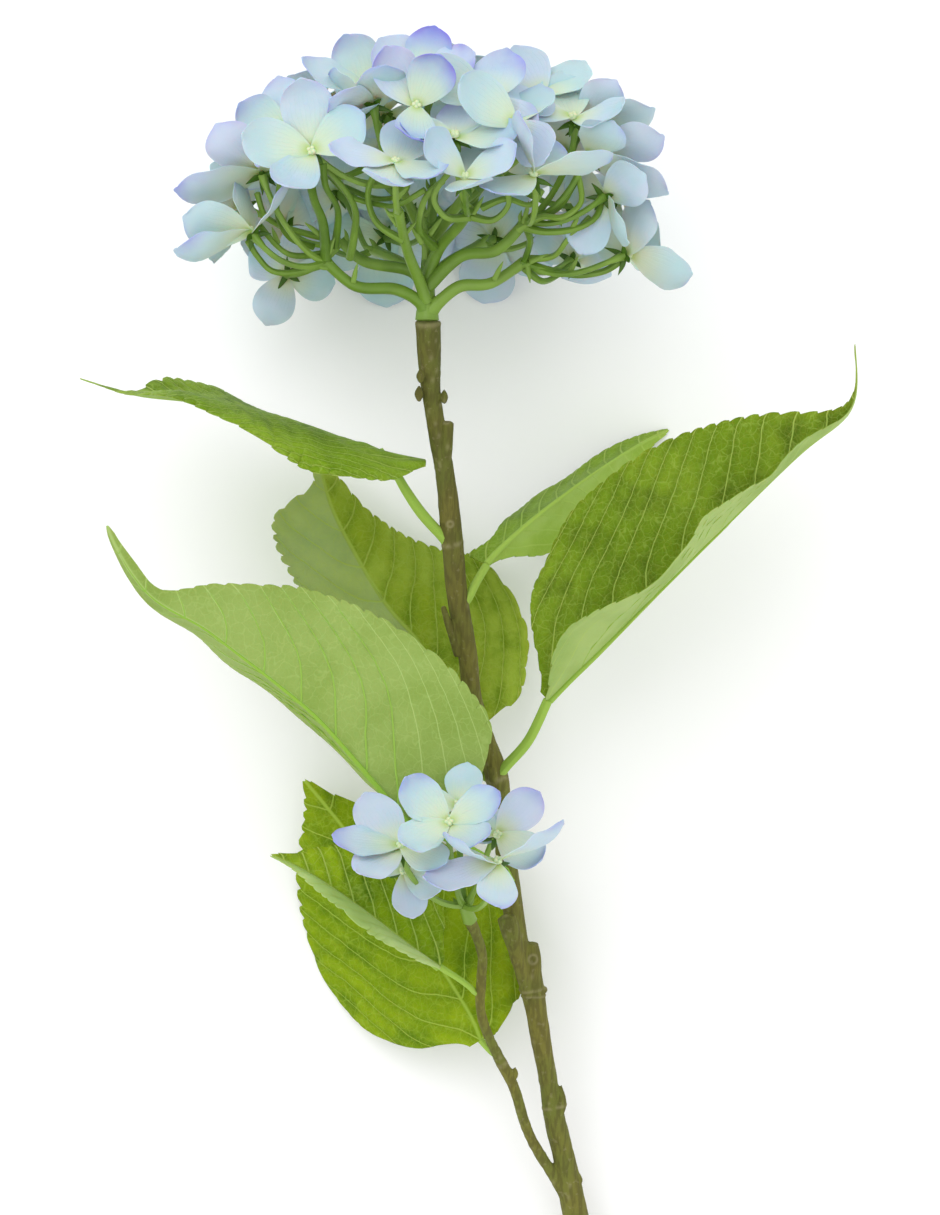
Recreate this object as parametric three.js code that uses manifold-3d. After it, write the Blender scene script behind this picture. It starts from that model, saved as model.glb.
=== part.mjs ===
// A cut hydrangea stem laid on its back: one mophead bloom, a small side bloom, seven toothed leaves
// and a woody stem with a slanted cut. Sizes are millimetres. X is to the right, Y runs along the
// stem towards the bloom and Z is up from the table.
import * as THREE from "three";
import Module from "manifold-3d";
import { mergeVertices } from "three/addons/utils/BufferGeometryUtils.js";

const wasm = await Module();
wasm.setup();

// Places are given as [right, up, height]: right and up are the sizes seen by an eye straight above
// the table, true at EYE_REACH below it, and height is the distance from the table.
const EYE_HEIGHT = 2060;
const EYE_REACH = 2000;
const EYE_UP = 29.8;

// Gap left between two pieces that meet, and the least body a cut may leave.
const SEAT_GAP = 0.3;
const LEAST_BODY = 6;
const FINEST_DETAIL = 0.06;

// Petals: corners as shares of their length and breadth, root first. The florets at the back of
// the bloom have plainer petals.
const PETAL_CORNERS = [
  [0.04, 0],
  [0.36, -0.34],
  [0.72, -0.47],
  [1, 0],
  [0.72, 0.47],
  [0.36, 0.34],
];
const PETAL_MIDDLE = [0.6, 0];
const PLAIN_CORNERS = [
  [0.04, 0],
  [0.68, -0.58],
  [1.04, 0],
  [0.68, 0.58],
];
const PETAL_BREADTH_BASE = 8;
const PETAL_BREADTH_SHARE = 0.6;
const PETAL_THICK = 0.8;
const PETAL_LAYER = 1.2;
const PETAL_BOWL = 0.1;
const BUTTON_RADIUS = 2.5;

// The dome that the florets of the big bloom sit on, leaning a little back from the eye.
const DOME_MIDDLE = [-13.3, 154, 70];
const DOME_RADIUS = 66;
const DOME_RISE = 54;
const DOME_LEAN = 10;
const LOWEST_FLORET = 1.6;

// Florets seen in the picture: where they are, which way they face, and the reach of each petal
// from the middle to its tip as [right, up, height], with a roll about its own length in degrees
// where it has one. Florets whose petals touch are one piece, and are listed under its name.
const HEAD_FLORETS = {
  head_florets_front: [
    {
      at: [-52.7, 182, 117],
      faces: [-0.15, 0.15, 0.97],
      petals: [[-3.5, 23, 4], [-22, 5, 4], [-9, -12, 13], [17, 11, 7]],
    },
    {
      at: [-24.7, 178, 134],
      faces: [0.05, 0.85, 0.5],
      petals: [[5, 16, -13], [-21, 5, 6], [-3, -6, 21], [15, -4, 13]],
    },
    {
      at: [-1.7, 173, 131],
      faces: [0, 0.55, 0.83],
      petals: [[3, 12, -17], [-12, 14, 7], [2, -3, 19], [16, 10, 6]],
    },
    {
      at: [21.3, 174, 127],
      faces: [-0.1, 0.65, 0.75],
      petals: [[6, 13, -14], [-5, 19, 9, 70], [-15, -5, 16], [25, 6, 4, -50]],
    },
    {
      at: [6, 199, 114],
      faces: [-0.1, 0.35, 0.93],
      petals: [[-20, 12, 6], [14, -12, 8], [6, 18, -10]],
    },
    {
      at: [15, 191, 120],
      faces: [-0.6, 0.5, 0.6],
      petals: [[-17, 15, 8, 25], [10, -12, 14], [8, 14, -12]],
    },
    {
      at: [34.3, 193, 104],
      faces: [-0.15, 0.8, 0.55],
      petals: [[-4, 17, -14], [-23, 6, 8], [16, 4, 12]],
    },
    {
      at: [24, 201, 96],
      faces: [-0.1, 0.75, 0.6],
      petals: [[-9, 17, -10], [-6, -8, 18], [14, 12, -8]],
    },
    {
      at: [37.5, 191, 90],
      faces: [0.3, 0.5, -0.8],
      petals: [[11, 15, 8], [24, 4, 8], [2, 6, -20]],
    },
    {
      at: [39.5, 182, 100],
      faces: [0.35, 0.6, -0.7],
      petals: [[4, 10, 15], [24, 7, 7], [24, -10, -4], [-2, 14, -16]],
    },
    {
      at: [45, 167, 97],
      faces: [0.35, 0.35, -0.85],
      petals: [[12, 12, 12], [21, 3, 9], [-5, -18, -8], [-12, 6, -14]],
    },
    {
      at: [-18, 197, 121],
      faces: [0.2, 0.3, 0.93],
      petals: [[-10, 19, 2], [1, -12, 16], [8, 16, 6]],
    },
    {
      at: [-32.3, 198, 110],
      faces: [-0.1, 0.75, -0.65],
      petals: [[-14, 1, 12], [4, 10, 17], [10, 9, -12], [-14, 9, -12]],
    },
    {
      at: [-5, 187, 125],
      faces: [0, 0.8, 0.6],
      petals: [[4, 14, -15], [-18, 5, 3], [21, 3, 2]],
    },
    {
      at: [-34, 202, 98],
      faces: [-0.3, 0.75, 0.55],
      petals: [[-8, 19, -5], [-21, 10, 3], [-4, -8, 18], [16, 6, 4]],
    },
    {
      at: [-16, 207, 104],
      faces: [0, 0.6, 0.8],
      petals: [[-14, 13, -6], [17, 7, 0], [4, 17, -6]],
    },
  ],
  head_florets_left: [
    {
      at: [-62, 189, 101],
      faces: [-0.5, 0.5, 0.7],
      petals: [[-15, 9, -4], [-6, -12, 14], [14, 4, 2], [-2, 18, -10]],
    },
    {
      at: [-69.5, 175, 91],
      faces: [-0.2, 0.75, -0.6],
      petals: [[-28, -6, 5], [-14, 14, 13], [10, 12, 10], [-6, -4, -20]],
    },
  ],
  head_floret_far_left: [
    {
      at: [-73, 155, 96],
      faces: [-0.45, 0.6, -0.5],
      petals: [[-23, 8, 6], [-24, -8, 8], [11, 17, 9, 40], [-10, 6, -18]],
    },
  ],
  head_floret_low_left: [
    {
      at: [-61, 141, 50],
      faces: [-0.1, 0.1, -0.98],
      petals: [[-7, -18, 3], [17, 2, 1], [6, 16, 0], [-17, 7, 2]],
    },
  ],
  head_floret_low_right: [
    {
      at: [34.3, 146, 58],
      faces: [0.4, 0.3, -0.85],
      petals: [[6, 15, 9], [14, 5, 8], [8, -6, -18], [-12, 9, -8]],
    },
  ],
  head_floret_right: [
    {
      at: [52.7, 147.5, 84],
      faces: [0.6, 0.2, -0.75],
      petals: [[7, 18, 8], [20, -6, 10], [10, 4, -19], [-10, 12, -14]],
    },
  ],
};

// Rows of florets round the hidden back of the dome: lift above its rim and bearings in degrees.
const HEAD_ROWS = [
  { lift: 12, first: 130, last: 230, count: 4 },
  { lift: 16, first: 100, last: 260, count: 2 },
  { lift: 40, first: 112, last: 248, count: 4 },
  { lift: 60, first: 90, last: 270, count: 4 },
  { lift: 82, first: 180, last: 180, count: 1 },
  { lift: 25, first: 215, last: 215, count: 1 },
  { lift: 27, first: 183, last: 183, count: 1 },
];
const ROW_PIECE = "head_florets_rear";
const ROW_PETALS = 4;
const ROW_PETAL_LENGTH = 23;
const ROW_PETAL_OPEN = 12;

const SIDE_FLORETS = {
  side_bloom_florets_front: [
    {
      at: [-7, -42, 99],
      faces: [0.05, 0.15, 0.98],
      petals: [[-14, 15, 4], [-15, -6, 12], [12, -4, 15], [16, 10, 4]],
    },
    {
      at: [-23, -50, 91],
      faces: [-0.15, 0.5, 0.85],
      petals: [[-12, 18, -8], [-22, 4, 4], [-14, -7, 13], [15, -5, 11]],
    },
    {
      at: [9.3, -55, 101],
      faces: [0.05, 0.55, 0.83],
      petals: [[-17, 10, 11, 25], [-24, -5, 5], [0, -13, 14], [21, 13, 4, -50]],
    },
  ],
  side_bloom_florets_rear: [
    {
      at: [9, -46, 85],
      faces: [0.2, 0.2, 0.95],
      petals: [[14, 14, 2], [14, -8, 10], [-12, 8, -8]],
    },
    {
      at: [-4, -36, 80],
      faces: [0, 0.3, 0.95],
      petals: [[3, 14, -6], [-17, 2, 0], [14, -10, 2]],
    },
  ],
  side_bloom_floret_low: [
    {
      at: [-22, -58, 80],
      faces: [0, 0.2, 0.97],
      petals: [[3, -15, 6], [12, -6, 6], [-12, 6, -4]],
    },
  ],
};

// Stalks of the big bloom: stations of [right, up, height, radius], the last one a knot where
// floret stalks branch off.
const HEAD_FOOT = [-14.3, 125.6, 75, 3.9];
const HEAD_BRANCHES = [
  [
    [-14.3, 128, 75, 3.7],
    [-17, 132, 77, 2.6],
    [-25, 136, 80, 2.5],
    [-38, 137, 82, 2.3],
    [-48, 145, 84, 2],
  ],
  [
    [-14.5, 136, 76, 3],
    [-20, 142, 74, 2.5],
    [-35, 145, 68, 2.3],
    [-43, 152, 66, 2],
  ],
  [
    [-14.5, 132, 77, 2.6],
    [-17, 139, 82, 2.4],
    [-21, 149, 94, 2.1],
    [-24, 162, 113, 1.8],
  ],
  [
    [-14, 128, 75, 3.4],
    [-10, 132, 77, 2.6],
    [-3, 137, 79, 2.5],
    [7, 138, 80, 2.3],
    [18, 145, 78, 2],
  ],
  [
    [-14, 137, 77, 3],
    [-3, 147, 84, 2.5],
    [9, 149, 90, 2.3],
    [19, 159, 96, 2],
  ],
  [
    [-14.5, 140, 77, 3],
    [-10, 150, 84, 2.4],
    [-3, 158, 96, 2.2],
    [0, 163, 104, 2],
  ],
  [
    [-14.5, 134, 75, 3.2],
    [-14, 145, 70, 2.8],
    [-13, 158, 66, 2.3],
    [-12, 170, 68, 1.9],
  ],
  [
    [-14.5, 136, 74, 2.8],
    [-20, 143, 62, 2.4],
    [-32, 149, 45, 2],
  ],
  [
    [-14.5, 136, 74, 2.8],
    [-8, 144, 62, 2.4],
    [4, 151, 45, 2],
  ],
  [
    [-14.5, 140, 72, 2.6],
    [-14, 150, 52, 2.2],
    [-13, 158, 38, 2],
  ],
  [
    [-14, 150, 69, 2.5],
    [-19, 161, 82, 2],
    [-24, 172, 94, 1.8],
  ],
  [
    [-14, 150, 69, 2.5],
    [-4, 164, 84, 2],
    [4, 175, 92, 1.8],
  ],
  [
    [-13, 156, 67, 2.3],
    [-25, 168, 58, 2],
    [-34, 177, 56, 1.8],
  ],
  [
    [-13, 156, 67, 2.3],
    [0, 167, 58, 2],
    [10, 175, 55, 1.8],
  ],
];
const AXIS_BRACT = { from: [-14.5, 146, 79], to: [-15.5, 162, 82], radius: 2 };
const SIDE_KNOT = [0, -74.4, 62.6, 2.4];
const FLORET_STALK = { root: 1.45, middle: 1.3, top: 2.2 };
const STALK_SAG = 0.28;

// The woody stem: stations of [right, up, height, radius] from the bloom down.
const SHOOT = [
  [-14, 125, 75, 4.3],
  [-14, 122, 74.4, 4.1],
  [-13.5, 112, 72.3, 3.9],
  [-13, 102, 70, 3.7],
  [-11, 89, 67.5, 3.4],
  [-8, 72, 64, 3.3],
  [-6, 52, 60, 3.7],
  [-4, 32, 56, 3.5],
  [-1, 16, 53, 3.2],
  [1, -1, 50, 3.2],
  [5, -14, 47.5, 3.2],
  [9, -27, 45, 3.9],
  [11, -44, 41.5, 3.4],
  [13, -61, 38, 3.6],
  [16, -78, 35, 3.7],
  [20, -96, 31, 3.9],
  [24, -112, 27.5, 3.4],
];
const CANE = [
  [21.6, -82.6, 33.2, 3.4],
  [22, -89, 32, 4],
  [23, -104, 29.5, 4.3],
  [26, -121, 25.4, 4.6],
  [28, -138, 21.8, 4.8],
  [31, -154, 18, 5.1],
  [34, -173, 13.6, 5.2],
  [38, -193, 9, 5.4],
  [42, -214, 5.1, 5.5],
  [43.5, -222, 4.6, 5.5],
];
const SIDE_BRANCH = [
  [31.5, -172, 14, 2.8],
  [27, -163, 17.5, 2.9],
  [22, -154, 22.4, 2.4],
  [18, -143, 28, 2.2],
  [14.6, -131, 33, 2.2],
  [11.4, -122, 37, 2.4],
  [7, -113, 42, 2],
  [5, -104, 46, 2],
  [4, -94, 51, 2],
  [3.5, -86, 55, 1.9],
  [2, -79, 59, 1.9],
  [0, -74.5, 62.5, 2.2],
];
// Cut twigs and torn sheaths fused to the stem.
const STUBS = [
  [
    [-8.6, 58, 63, 1.6],
    [-8, 74, 66.5, 1.6],
    [-7.4, 88, 69.6, 1.9],
    [-7.2, 91.5, 70.4, 1.8],
  ],
  [
    [-4, 14, 53.5, 1.4],
    [-7, 24, 57.5, 1.3],
    [-9, 30, 59.5, 0.9],
  ],
  [
    [19, -98, 33, 3.2],
    [15, -84, 37, 3.9],
    [12.4, -76, 39.5, 3.6],
    [11.6, -73, 40.4, 3.1],
  ],
  [
    [9, -31, 46, 2],
    [7.6, -26, 48.6, 1.7],
    [7, -23.6, 49.6, 1.2],
  ],
];
// Buds and leaf scars: where and how thick.
const BUDS = [
  { at: [-16.5, 107, 75.4], size: [1.5, 2.3, 1.5] },
  { at: [-17, 101, 73.6], size: [1.7, 2.4, 1.6] },
  { at: [-8.6, 100, 72], size: [1.4, 2.3, 1.5] },
  { at: [-15.5, 112.6, 75], size: [1.2, 2.2, 1.3] },
  { at: [26, -130, 27.2], size: [2.4, 2.2, 2.6] },
  { at: [31.4, -138, 23.2], size: [2.4, 2.6, 2.4] },
  { at: [35.6, -156, 18.4], size: [2.6, 3, 2.4] },
  { at: [12.6, -119, 38], size: [2.8, 2, 2.4] },
  { at: [26.6, -98, 32], size: [1.8, 1.6, 2.4] },
];
const STEM_CUT = { at: [40.8, -210.6, 5.6], faces: [0.2, -0.86, 0.46] };

// Leaves: the leaf stalk, then the midrib from the foot of the blade to its tip. Each half of the
// blade has its width at even steps from foot to tip, and its rise: the angle in degrees that it
// makes with the table at the foot, the middle and the tip (180 lies folded back), to which curl
// adds towards the edge. Left and right are seen walking from foot to tip.
const LEAVES = {
  leaf_upper_left: {
    stalk: [
      [-8.6, 53, 61.4, 2],
      [-16, 61, 65, 2],
      [-21.5, 69, 67, 1.8],
      [-25.5, 76, 68.4, 1.5],
      [-30, 82.4, 69.2, 1.2],
    ],
    rib: [
      [-15, 79, 67.5],
      [-27, 81.5, 69],
      [-40, 85, 70],
      [-57, 92, 71],
      [-77, 99.5, 72],
      [-93, 104.5, 73],
      [-104, 107, 73],
      [-113, 104, 73],
      [-121, 104, 72],
      [-129.5, 106, 72],
    ],
    left: { widths: [6, 26, 37, 41, 41, 38, 33, 27, 17, 3, 1], rise: [68, 70, 80], curl: -6 },
    right: { widths: [4, 22, 33, 38, 38, 36, 32, 24, 12, 2, 1], rise: [-96, -97, -100], curl: 8 },
  },
  leaf_left: {
    stalk: [
      [12.6, -58.5, 42, 2],
      [0, -51, 52.5, 1.9],
      [-15, -43, 62, 1.9],
      [-20, -41.5, 66, 1.8],
    ],
    rib: [
      [-15, -48, 62],
      [-26, -35, 69],
      [-38, -21, 74],
      [-51, -6.7, 78],
      [-65, 5, 80],
      [-77, 14, 82],
      [-89, 23, 84],
      [-104, 31.5, 86],
      [-112, 40, 90],
      [-118, 50, 94],
      [-121, 57, 97],
    ],
    left: { widths: [10, 30, 36, 37, 35, 29, 22, 14, 7, 5, 1], rise: [-72, -72, -40], curl: -6 },
    right: { widths: [22, 41, 44, 43, 38, 31, 20, 9, 5, 4, 1], rise: [8, -2, 4], curl: -8 },
  },
  leaf_right: {
    stalk: [
      [10.4, -25, 47.5, 2],
      [19.5, -14.5, 51, 1.9],
      [26, -1, 56, 1.8],
    ],
    rib: [
      [26, -1, 56],
      [33, 6, 58],
      [43.5, 16, 60],
      [63.5, 36, 63],
      [87, 59, 66],
      [110, 81, 68],
      [123, 91, 70],
      [127.6, 97, 72],
      [129, 105, 74],
      [128.4, 117, 75],
    ],
    left: { widths: [6, 27, 35, 40, 40, 37, 31, 21, 8, 1.4, 0.9], rise: [-4, -6, 0], curl: -12 },
    right: { widths: [5, 24, 32, 36, 36, 33, 27, 17, 7, 1.4, 0.9], rise: [104, 103, 100], curl: 6 },
  },
  leaf_right_rear: {
    stalk: [
      [-1.2, 31.4, 56.4, 1.6],
      [2, 38, 55, 1.6],
      [5.6, 44, 53, 1.5],
    ],
    rib: [
      [5.6, 44, 53],
      [12, 51, 49],
      [22, 60, 43],
      [35, 70, 33],
      [48, 79, 18.6],
      [58, 85, 8],
      [66, 89, 0.4],
    ],
    left: { widths: [5, 17, 22, 24, 24, 22, 19, 15, 10, 5, 1], rise: [-44, -46, -34], curl: -8 },
    right: { widths: [4, 15, 21, 23, 23, 21, 18, 14, 9, 4, 1], rise: [-84, -90, -60], curl: 20 },
  },
  leaf_back: {
    stalk: [
      [5, -26.6, 44.4, 1.7],
      [-1, -22, 42, 1.7],
      [-4, -15, 39.5, 1.6],
    ],
    rib: [
      [-4, -15, 39.5],
      [-6, -8, 37.5],
      [-9, 2, 34],
      [-16, 17, 30],
      [-28, 31, 27],
      [-39, 49, 25],
      [-46, 63, 24],
      [-50, 76, 24],
    ],
    left: { widths: [5, 22, 30, 33, 33, 31, 30, 29, 25, 9, 1], rise: [-24, -10, 4], curl: 30 },
    right: { widths: [5, 24, 33, 37, 37, 33, 26, 18, 11, 6, 1], rise: [-10, -14, -22], curl: -12 },
  },
  leaf_low: {
    stalk: [
      [10.4, -121, 36, 1.7],
      [7, -118.4, 35.6, 1.7],
      [3.6, -114.4, 35, 1.6],
    ],
    rib: [
      [3.6, -114.4, 35],
      [0, -106, 31.6],
      [-8, -93, 26.4],
      [-18, -78, 20],
      [-30, -61, 16.2],
      [-42, -44, 17],
      [-55, -28, 22],
    ],
    left: { widths: [5, 23, 33, 39, 41, 40, 36, 30, 21, 9, 1], rise: [-22, -20, -16], curl: -14 },
    right: { widths: [6, 22, 30, 33, 33, 30, 25, 18, 11, 5, 1], rise: [-12, -12, -8], curl: -10 },
  },
  leaf_low_folded: {
    stalk: [
      [2.4, -97.8, 50.6, 1.5],
      [-4, -94, 52.6, 1.5],
      [-10, -90, 54, 1.4],
    ],
    rib: [
      [-10, -90, 54],
      [-20, -83, 55.5],
      [-33, -73, 56.5],
      [-47, -63, 57.5],
      [-57, -57, 58],
      [-66, -53, 58],
    ],
    left: { widths: [3, 10, 14, 16, 17, 16, 14, 11, 7, 3, 1], rise: [80, 72, 66], curl: 10 },
    right: { widths: [4, 15, 21, 24, 25, 24, 21, 16, 10, 4, 1], rise: [-16, -16, -6], curl: -12 },
  },
};
const LEAF_THICK = 0.8;
const LEAF_ROWS = 16;
const LEAF_TOOTH = 0.07;
const LEAF_TOOTH_LEAN = 1.6;
const LEAF_NARROWEST = 0.9;

const COLOURS = {
  stem: ["#6f6235", 0.8],
  head_stalks: ["#6f9a2e", 0.55],
  side_bloom_stalks: ["#86a845", 0.55],
  leaf_upper_left: ["#6f9427", 0.55],
  leaf_left: ["#93b85a", 0.6],
  leaf_right: ["#5f8420", 0.55],
  leaf_right_rear: ["#93b552", 0.6],
  leaf_back: ["#66881f", 0.55],
  leaf_low: ["#7fa312", 0.55],
  leaf_low_folded: ["#86aa2c", 0.55],
};
const PETAL_COLOUR = ["#c3d8ec", 0.6];

function vector(numbers) {
  return new THREE.Vector3(numbers[0], numbers[1], numbers[2]);
}

// The place in the object's frame of something seen at right, up and lying at this height.
function seen(right, up, height) {
  const scale = (EYE_HEIGHT - height) / EYE_REACH;
  return new THREE.Vector3(right * scale, EYE_UP + (up - EYE_UP) * scale, height);
}

function radians(degrees) {
  return (degrees * Math.PI) / 180;
}

// A repeatable number from 0 to 1 for the index-th thing and its channel-th quality.
function chance(index, channel) {
  const value = Math.sin(index * 12.9898 + channel * 78.233) * 43758.5453;
  return value - Math.floor(value);
}

function between(low, high, share) {
  return low + (high - low) * share;
}

// The value between two neighbours of a smooth line: before, here, next and after are its values.
function eased(before, here, next, after, t) {
  const pull = (next - before) / 2;
  const push = (after - here) / 2;
  const bend = 2 * here - 2 * next + pull + push;
  const sway = -3 * here + 3 * next - 2 * pull - push;
  return ((bend * t + sway) * t + pull) * t + here;
}

// Reads a list of values spread evenly over 0 to 1, smoothly.
function along(values, share) {
  const last = values.length - 1;
  const place = share * last;
  const first = Math.min(Math.floor(place), last - 1);
  const before = values[Math.max(first - 1, 0)];
  const after = values[Math.min(first + 2, last)];
  return eased(before, values[first], values[first + 1], after, place - first);
}

// A closed body from corner points and the triangles between them.
function body(points, triangles) {
  const numbers = new Float32Array(points.flatMap((p) => [p.x, p.y, p.z]));
  const corners = new Uint32Array(triangles.flat());
  const mesh = new wasm.Mesh({ numProp: 3, vertProperties: numbers, triVerts: corners });
  return new wasm.Manifold(mesh);
}

// The closed body of one of the library's ready shapes.
function bodyOf(geometry) {
  geometry.deleteAttribute("normal");
  geometry.deleteAttribute("uv");
  const merged = mergeVertices(geometry, 1e-4);
  const mesh = new wasm.Mesh({
    numProp: 3,
    vertProperties: new Float32Array(merged.attributes.position.array),
    triVerts: new Uint32Array(merged.index.array),
  });
  return new wasm.Manifold(mesh);
}

function joined(bodies) {
  return bodies.reduce((sum, next) => sum.add(next));
}

// The bodies that a join or a cut has left, largest first, without crumbs or sealed hollows.
function parted(solid) {
  const clean = solid.simplify(FINEST_DETAIL);
  const pieces = clean.decompose().filter((piece) => piece.volume() > LEAST_BODY);
  return pieces.sort((one, other) => other.volume() - one.volume());
}

// Puts more stations on a smooth line through those given; each is a list of numbers.
function smoothed(stations, steps) {
  const line = [];
  const last = stations.length - 1;
  for (let i = 0; i < last; i += 1) {
    const before = stations[Math.max(i - 1, 0)];
    const after = stations[Math.min(i + 2, last)];
    for (let step = 0; step < steps; step += 1) {
      const t = step / steps;
      line.push(
        stations[i].map((here, axis) =>
          eased(before[axis], here, stations[i + 1][axis], after[axis], t),
        ),
      );
    }
  }
  line.push(stations[last]);
  return line;
}

// Turns stations seen from above into stations in the object's frame.
function placed(stations) {
  return stations.map(([right, up, height, ...rest]) => {
    const point = seen(right, up, height);
    return [point.x, point.y, point.z, ...rest];
  });
}

function directions(points) {
  return points.map((point, i) => {
    const before = points[Math.max(i - 1, 0)];
    const after = points[Math.min(i + 1, points.length - 1)];
    return new THREE.Vector3().subVectors(after, before).normalize();
  });
}

// A round bar of changing thickness along stations of [x, y, z, radius], with flat ends.
function bar(stations, sides, extra = 0) {
  const centres = stations.map(vector);
  const tangents = directions(centres);
  const points = [];
  const triangles = [];
  const start = Math.abs(tangents[0].z) < 0.9 ? new THREE.Vector3(0, 0, 1) : new THREE.Vector3(1, 0, 0);
  const across = start.clone();
  centres.forEach((centre, i) => {
    const tangent = tangents[i];
    across.addScaledVector(tangent, -across.dot(tangent)).normalize();
    const other = new THREE.Vector3().crossVectors(tangent, across);
    const radius = stations[i][3] + extra;
    if (i === 0 || i === centres.length - 1) {
      centre.addScaledVector(tangent, i === 0 ? -extra : extra);
    }
    for (let side = 0; side < sides; side += 1) {
      const angle = (side / sides) * 2 * Math.PI;
      const point = centre.clone();
      point.addScaledVector(across, radius * Math.cos(angle));
      point.addScaledVector(other, radius * Math.sin(angle));
      points.push(point);
    }
  });
  for (let ring = 0; ring + 1 < centres.length; ring += 1) {
    for (let side = 0; side < sides; side += 1) {
      const next = (side + 1) % sides;
      const a = ring * sides + side;
      const b = ring * sides + next;
      triangles.push([a, b, b + sides], [a, b + sides, a + sides]);
    }
  }
  const end = centres.length - 1;
  const foot = points.push(centres[0]) - 1;
  const head = points.push(centres[end]) - 1;
  for (let side = 0; side < sides; side += 1) {
    const next = (side + 1) % sides;
    triangles.push([foot, next, side], [head, end * sides + side, end * sides + next]);
  }
  return body(points, triangles);
}

// Turns one direction about another by an angle in degrees.
function rolled(direction, axis, degrees) {
  return direction.clone().applyAxisAngle(axis, radians(degrees ?? 0));
}

// Moves a petal's corner that is under the table out along the petal and up onto it.
function rested(point, outward, thick) {
  const under = thick / 2 - point.z;
  if (under > 0) {
    point.addScaledVector(outward, under * 0.6);
    point.z = thick / 2;
  }
  return under > 0;
}

function petal(floret, index) {
  const [right, up, height, roll] = floret.petals[index];
  const reach = Math.hypot(right, up, height);
  const breadth = PETAL_BREADTH_BASE + PETAL_BREADTH_SHARE * reach;
  const out = new THREE.Vector3(right, up, height).normalize();
  const flat = floret.facing.clone().addScaledVector(out, -floret.facing.dot(out)).normalize();
  const normal = rolled(flat, out, roll);
  const across = new THREE.Vector3().crossVectors(normal, out);
  const level = new THREE.Vector3(out.x, out.y, 0).normalize();
  const restSide = level.x * across.y - level.y * across.x < 0 ? -1 : 1;
  const layer = ((index % 2) - 0.5) * PETAL_LAYER;
  const start = floret.centre.clone().addScaledVector(floret.facing, layer);
  const corners = floret.plain ? PLAIN_CORNERS : [...PETAL_CORNERS, PETAL_MIDDLE];
  const front = [];
  const back = [];
  corners.forEach(([p, q]) => {
    const bowl = reach * PETAL_BOWL * (4 * q * q * p - 6 * p * p * (1 - p));
    const point = start.clone();
    point.addScaledVector(out, p * reach);
    point.addScaledVector(across, q * breadth);
    point.addScaledVector(normal, bowl);
    const under = rested(point, level, PETAL_THICK);
    const offset = under ? new THREE.Vector3(0, 0, restSide) : normal;
    front.push(point.clone().addScaledVector(offset, PETAL_THICK / 2));
    back.push(point.clone().addScaledVector(offset, -PETAL_THICK / 2));
  });
  [...front, ...back].forEach((point) => {
    point.z = Math.max(point.z, 0);
  });
  const total = corners.length;
  const around = floret.plain ? total : total - 1;
  const hub = floret.plain ? 0 : around;
  const triangles = [];
  for (let i = 0; i < around; i += 1) {
    const next = (i + 1) % around;
    if (i !== hub && next !== hub) {
      triangles.push([hub, i, next], [hub + total, next + total, i + total]);
    }
    triangles.push([i, i + total, next + total], [i, next + total, next]);
  }
  return body([...front, ...back], triangles);
}

function button(floret) {
  const ball = bodyOf(new THREE.OctahedronGeometry(BUTTON_RADIUS, 0));
  const { x, y, z } = floret.centre;
  return ball.translate([x, y, Math.max(z, BUTTON_RADIUS)]);
}

function floretBody(floret) {
  return joined([button(floret), ...floret.petals.map((reach, index) => petal(floret, index))]);
}

// The florets listed by hand, as places in the object's frame.
function handPlaced(pieces) {
  return Object.entries(pieces).flatMap(([piece, list]) =>
    list.map(({ at, faces, petals }) => ({
      centre: seen(...at),
      facing: vector(faces).normalize(),
      petals,
      piece,
      plain: false,
    })),
  );
}

// Reaches of evenly spread petals round a facing, opened a little out of its plane.
function evenPetals(facing, number) {
  const hint = Math.abs(facing.y) < 0.98 ? new THREE.Vector3(0, 1, 0) : new THREE.Vector3(0, 0, 1);
  const first = hint.addScaledVector(facing, -hint.dot(facing)).normalize();
  const turn = between(0, 90, chance(number, 32));
  const reaches = [];
  for (let index = 0; index < ROW_PETALS; index += 1) {
    const angle = turn + (360 / ROW_PETALS) * index + between(-8, 8, chance(number, index));
    const length = ROW_PETAL_LENGTH * between(0.9, 1.08, chance(number, index + 10));
    const open = radians(ROW_PETAL_OPEN * between(0, 2, chance(number, index + 20)));
    const reach = rolled(first, facing, angle).multiplyScalar(Math.cos(open));
    reach.addScaledVector(facing, Math.sin(open)).multiplyScalar(length);
    reaches.push(reach.toArray());
  }
  return reaches;
}

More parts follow.
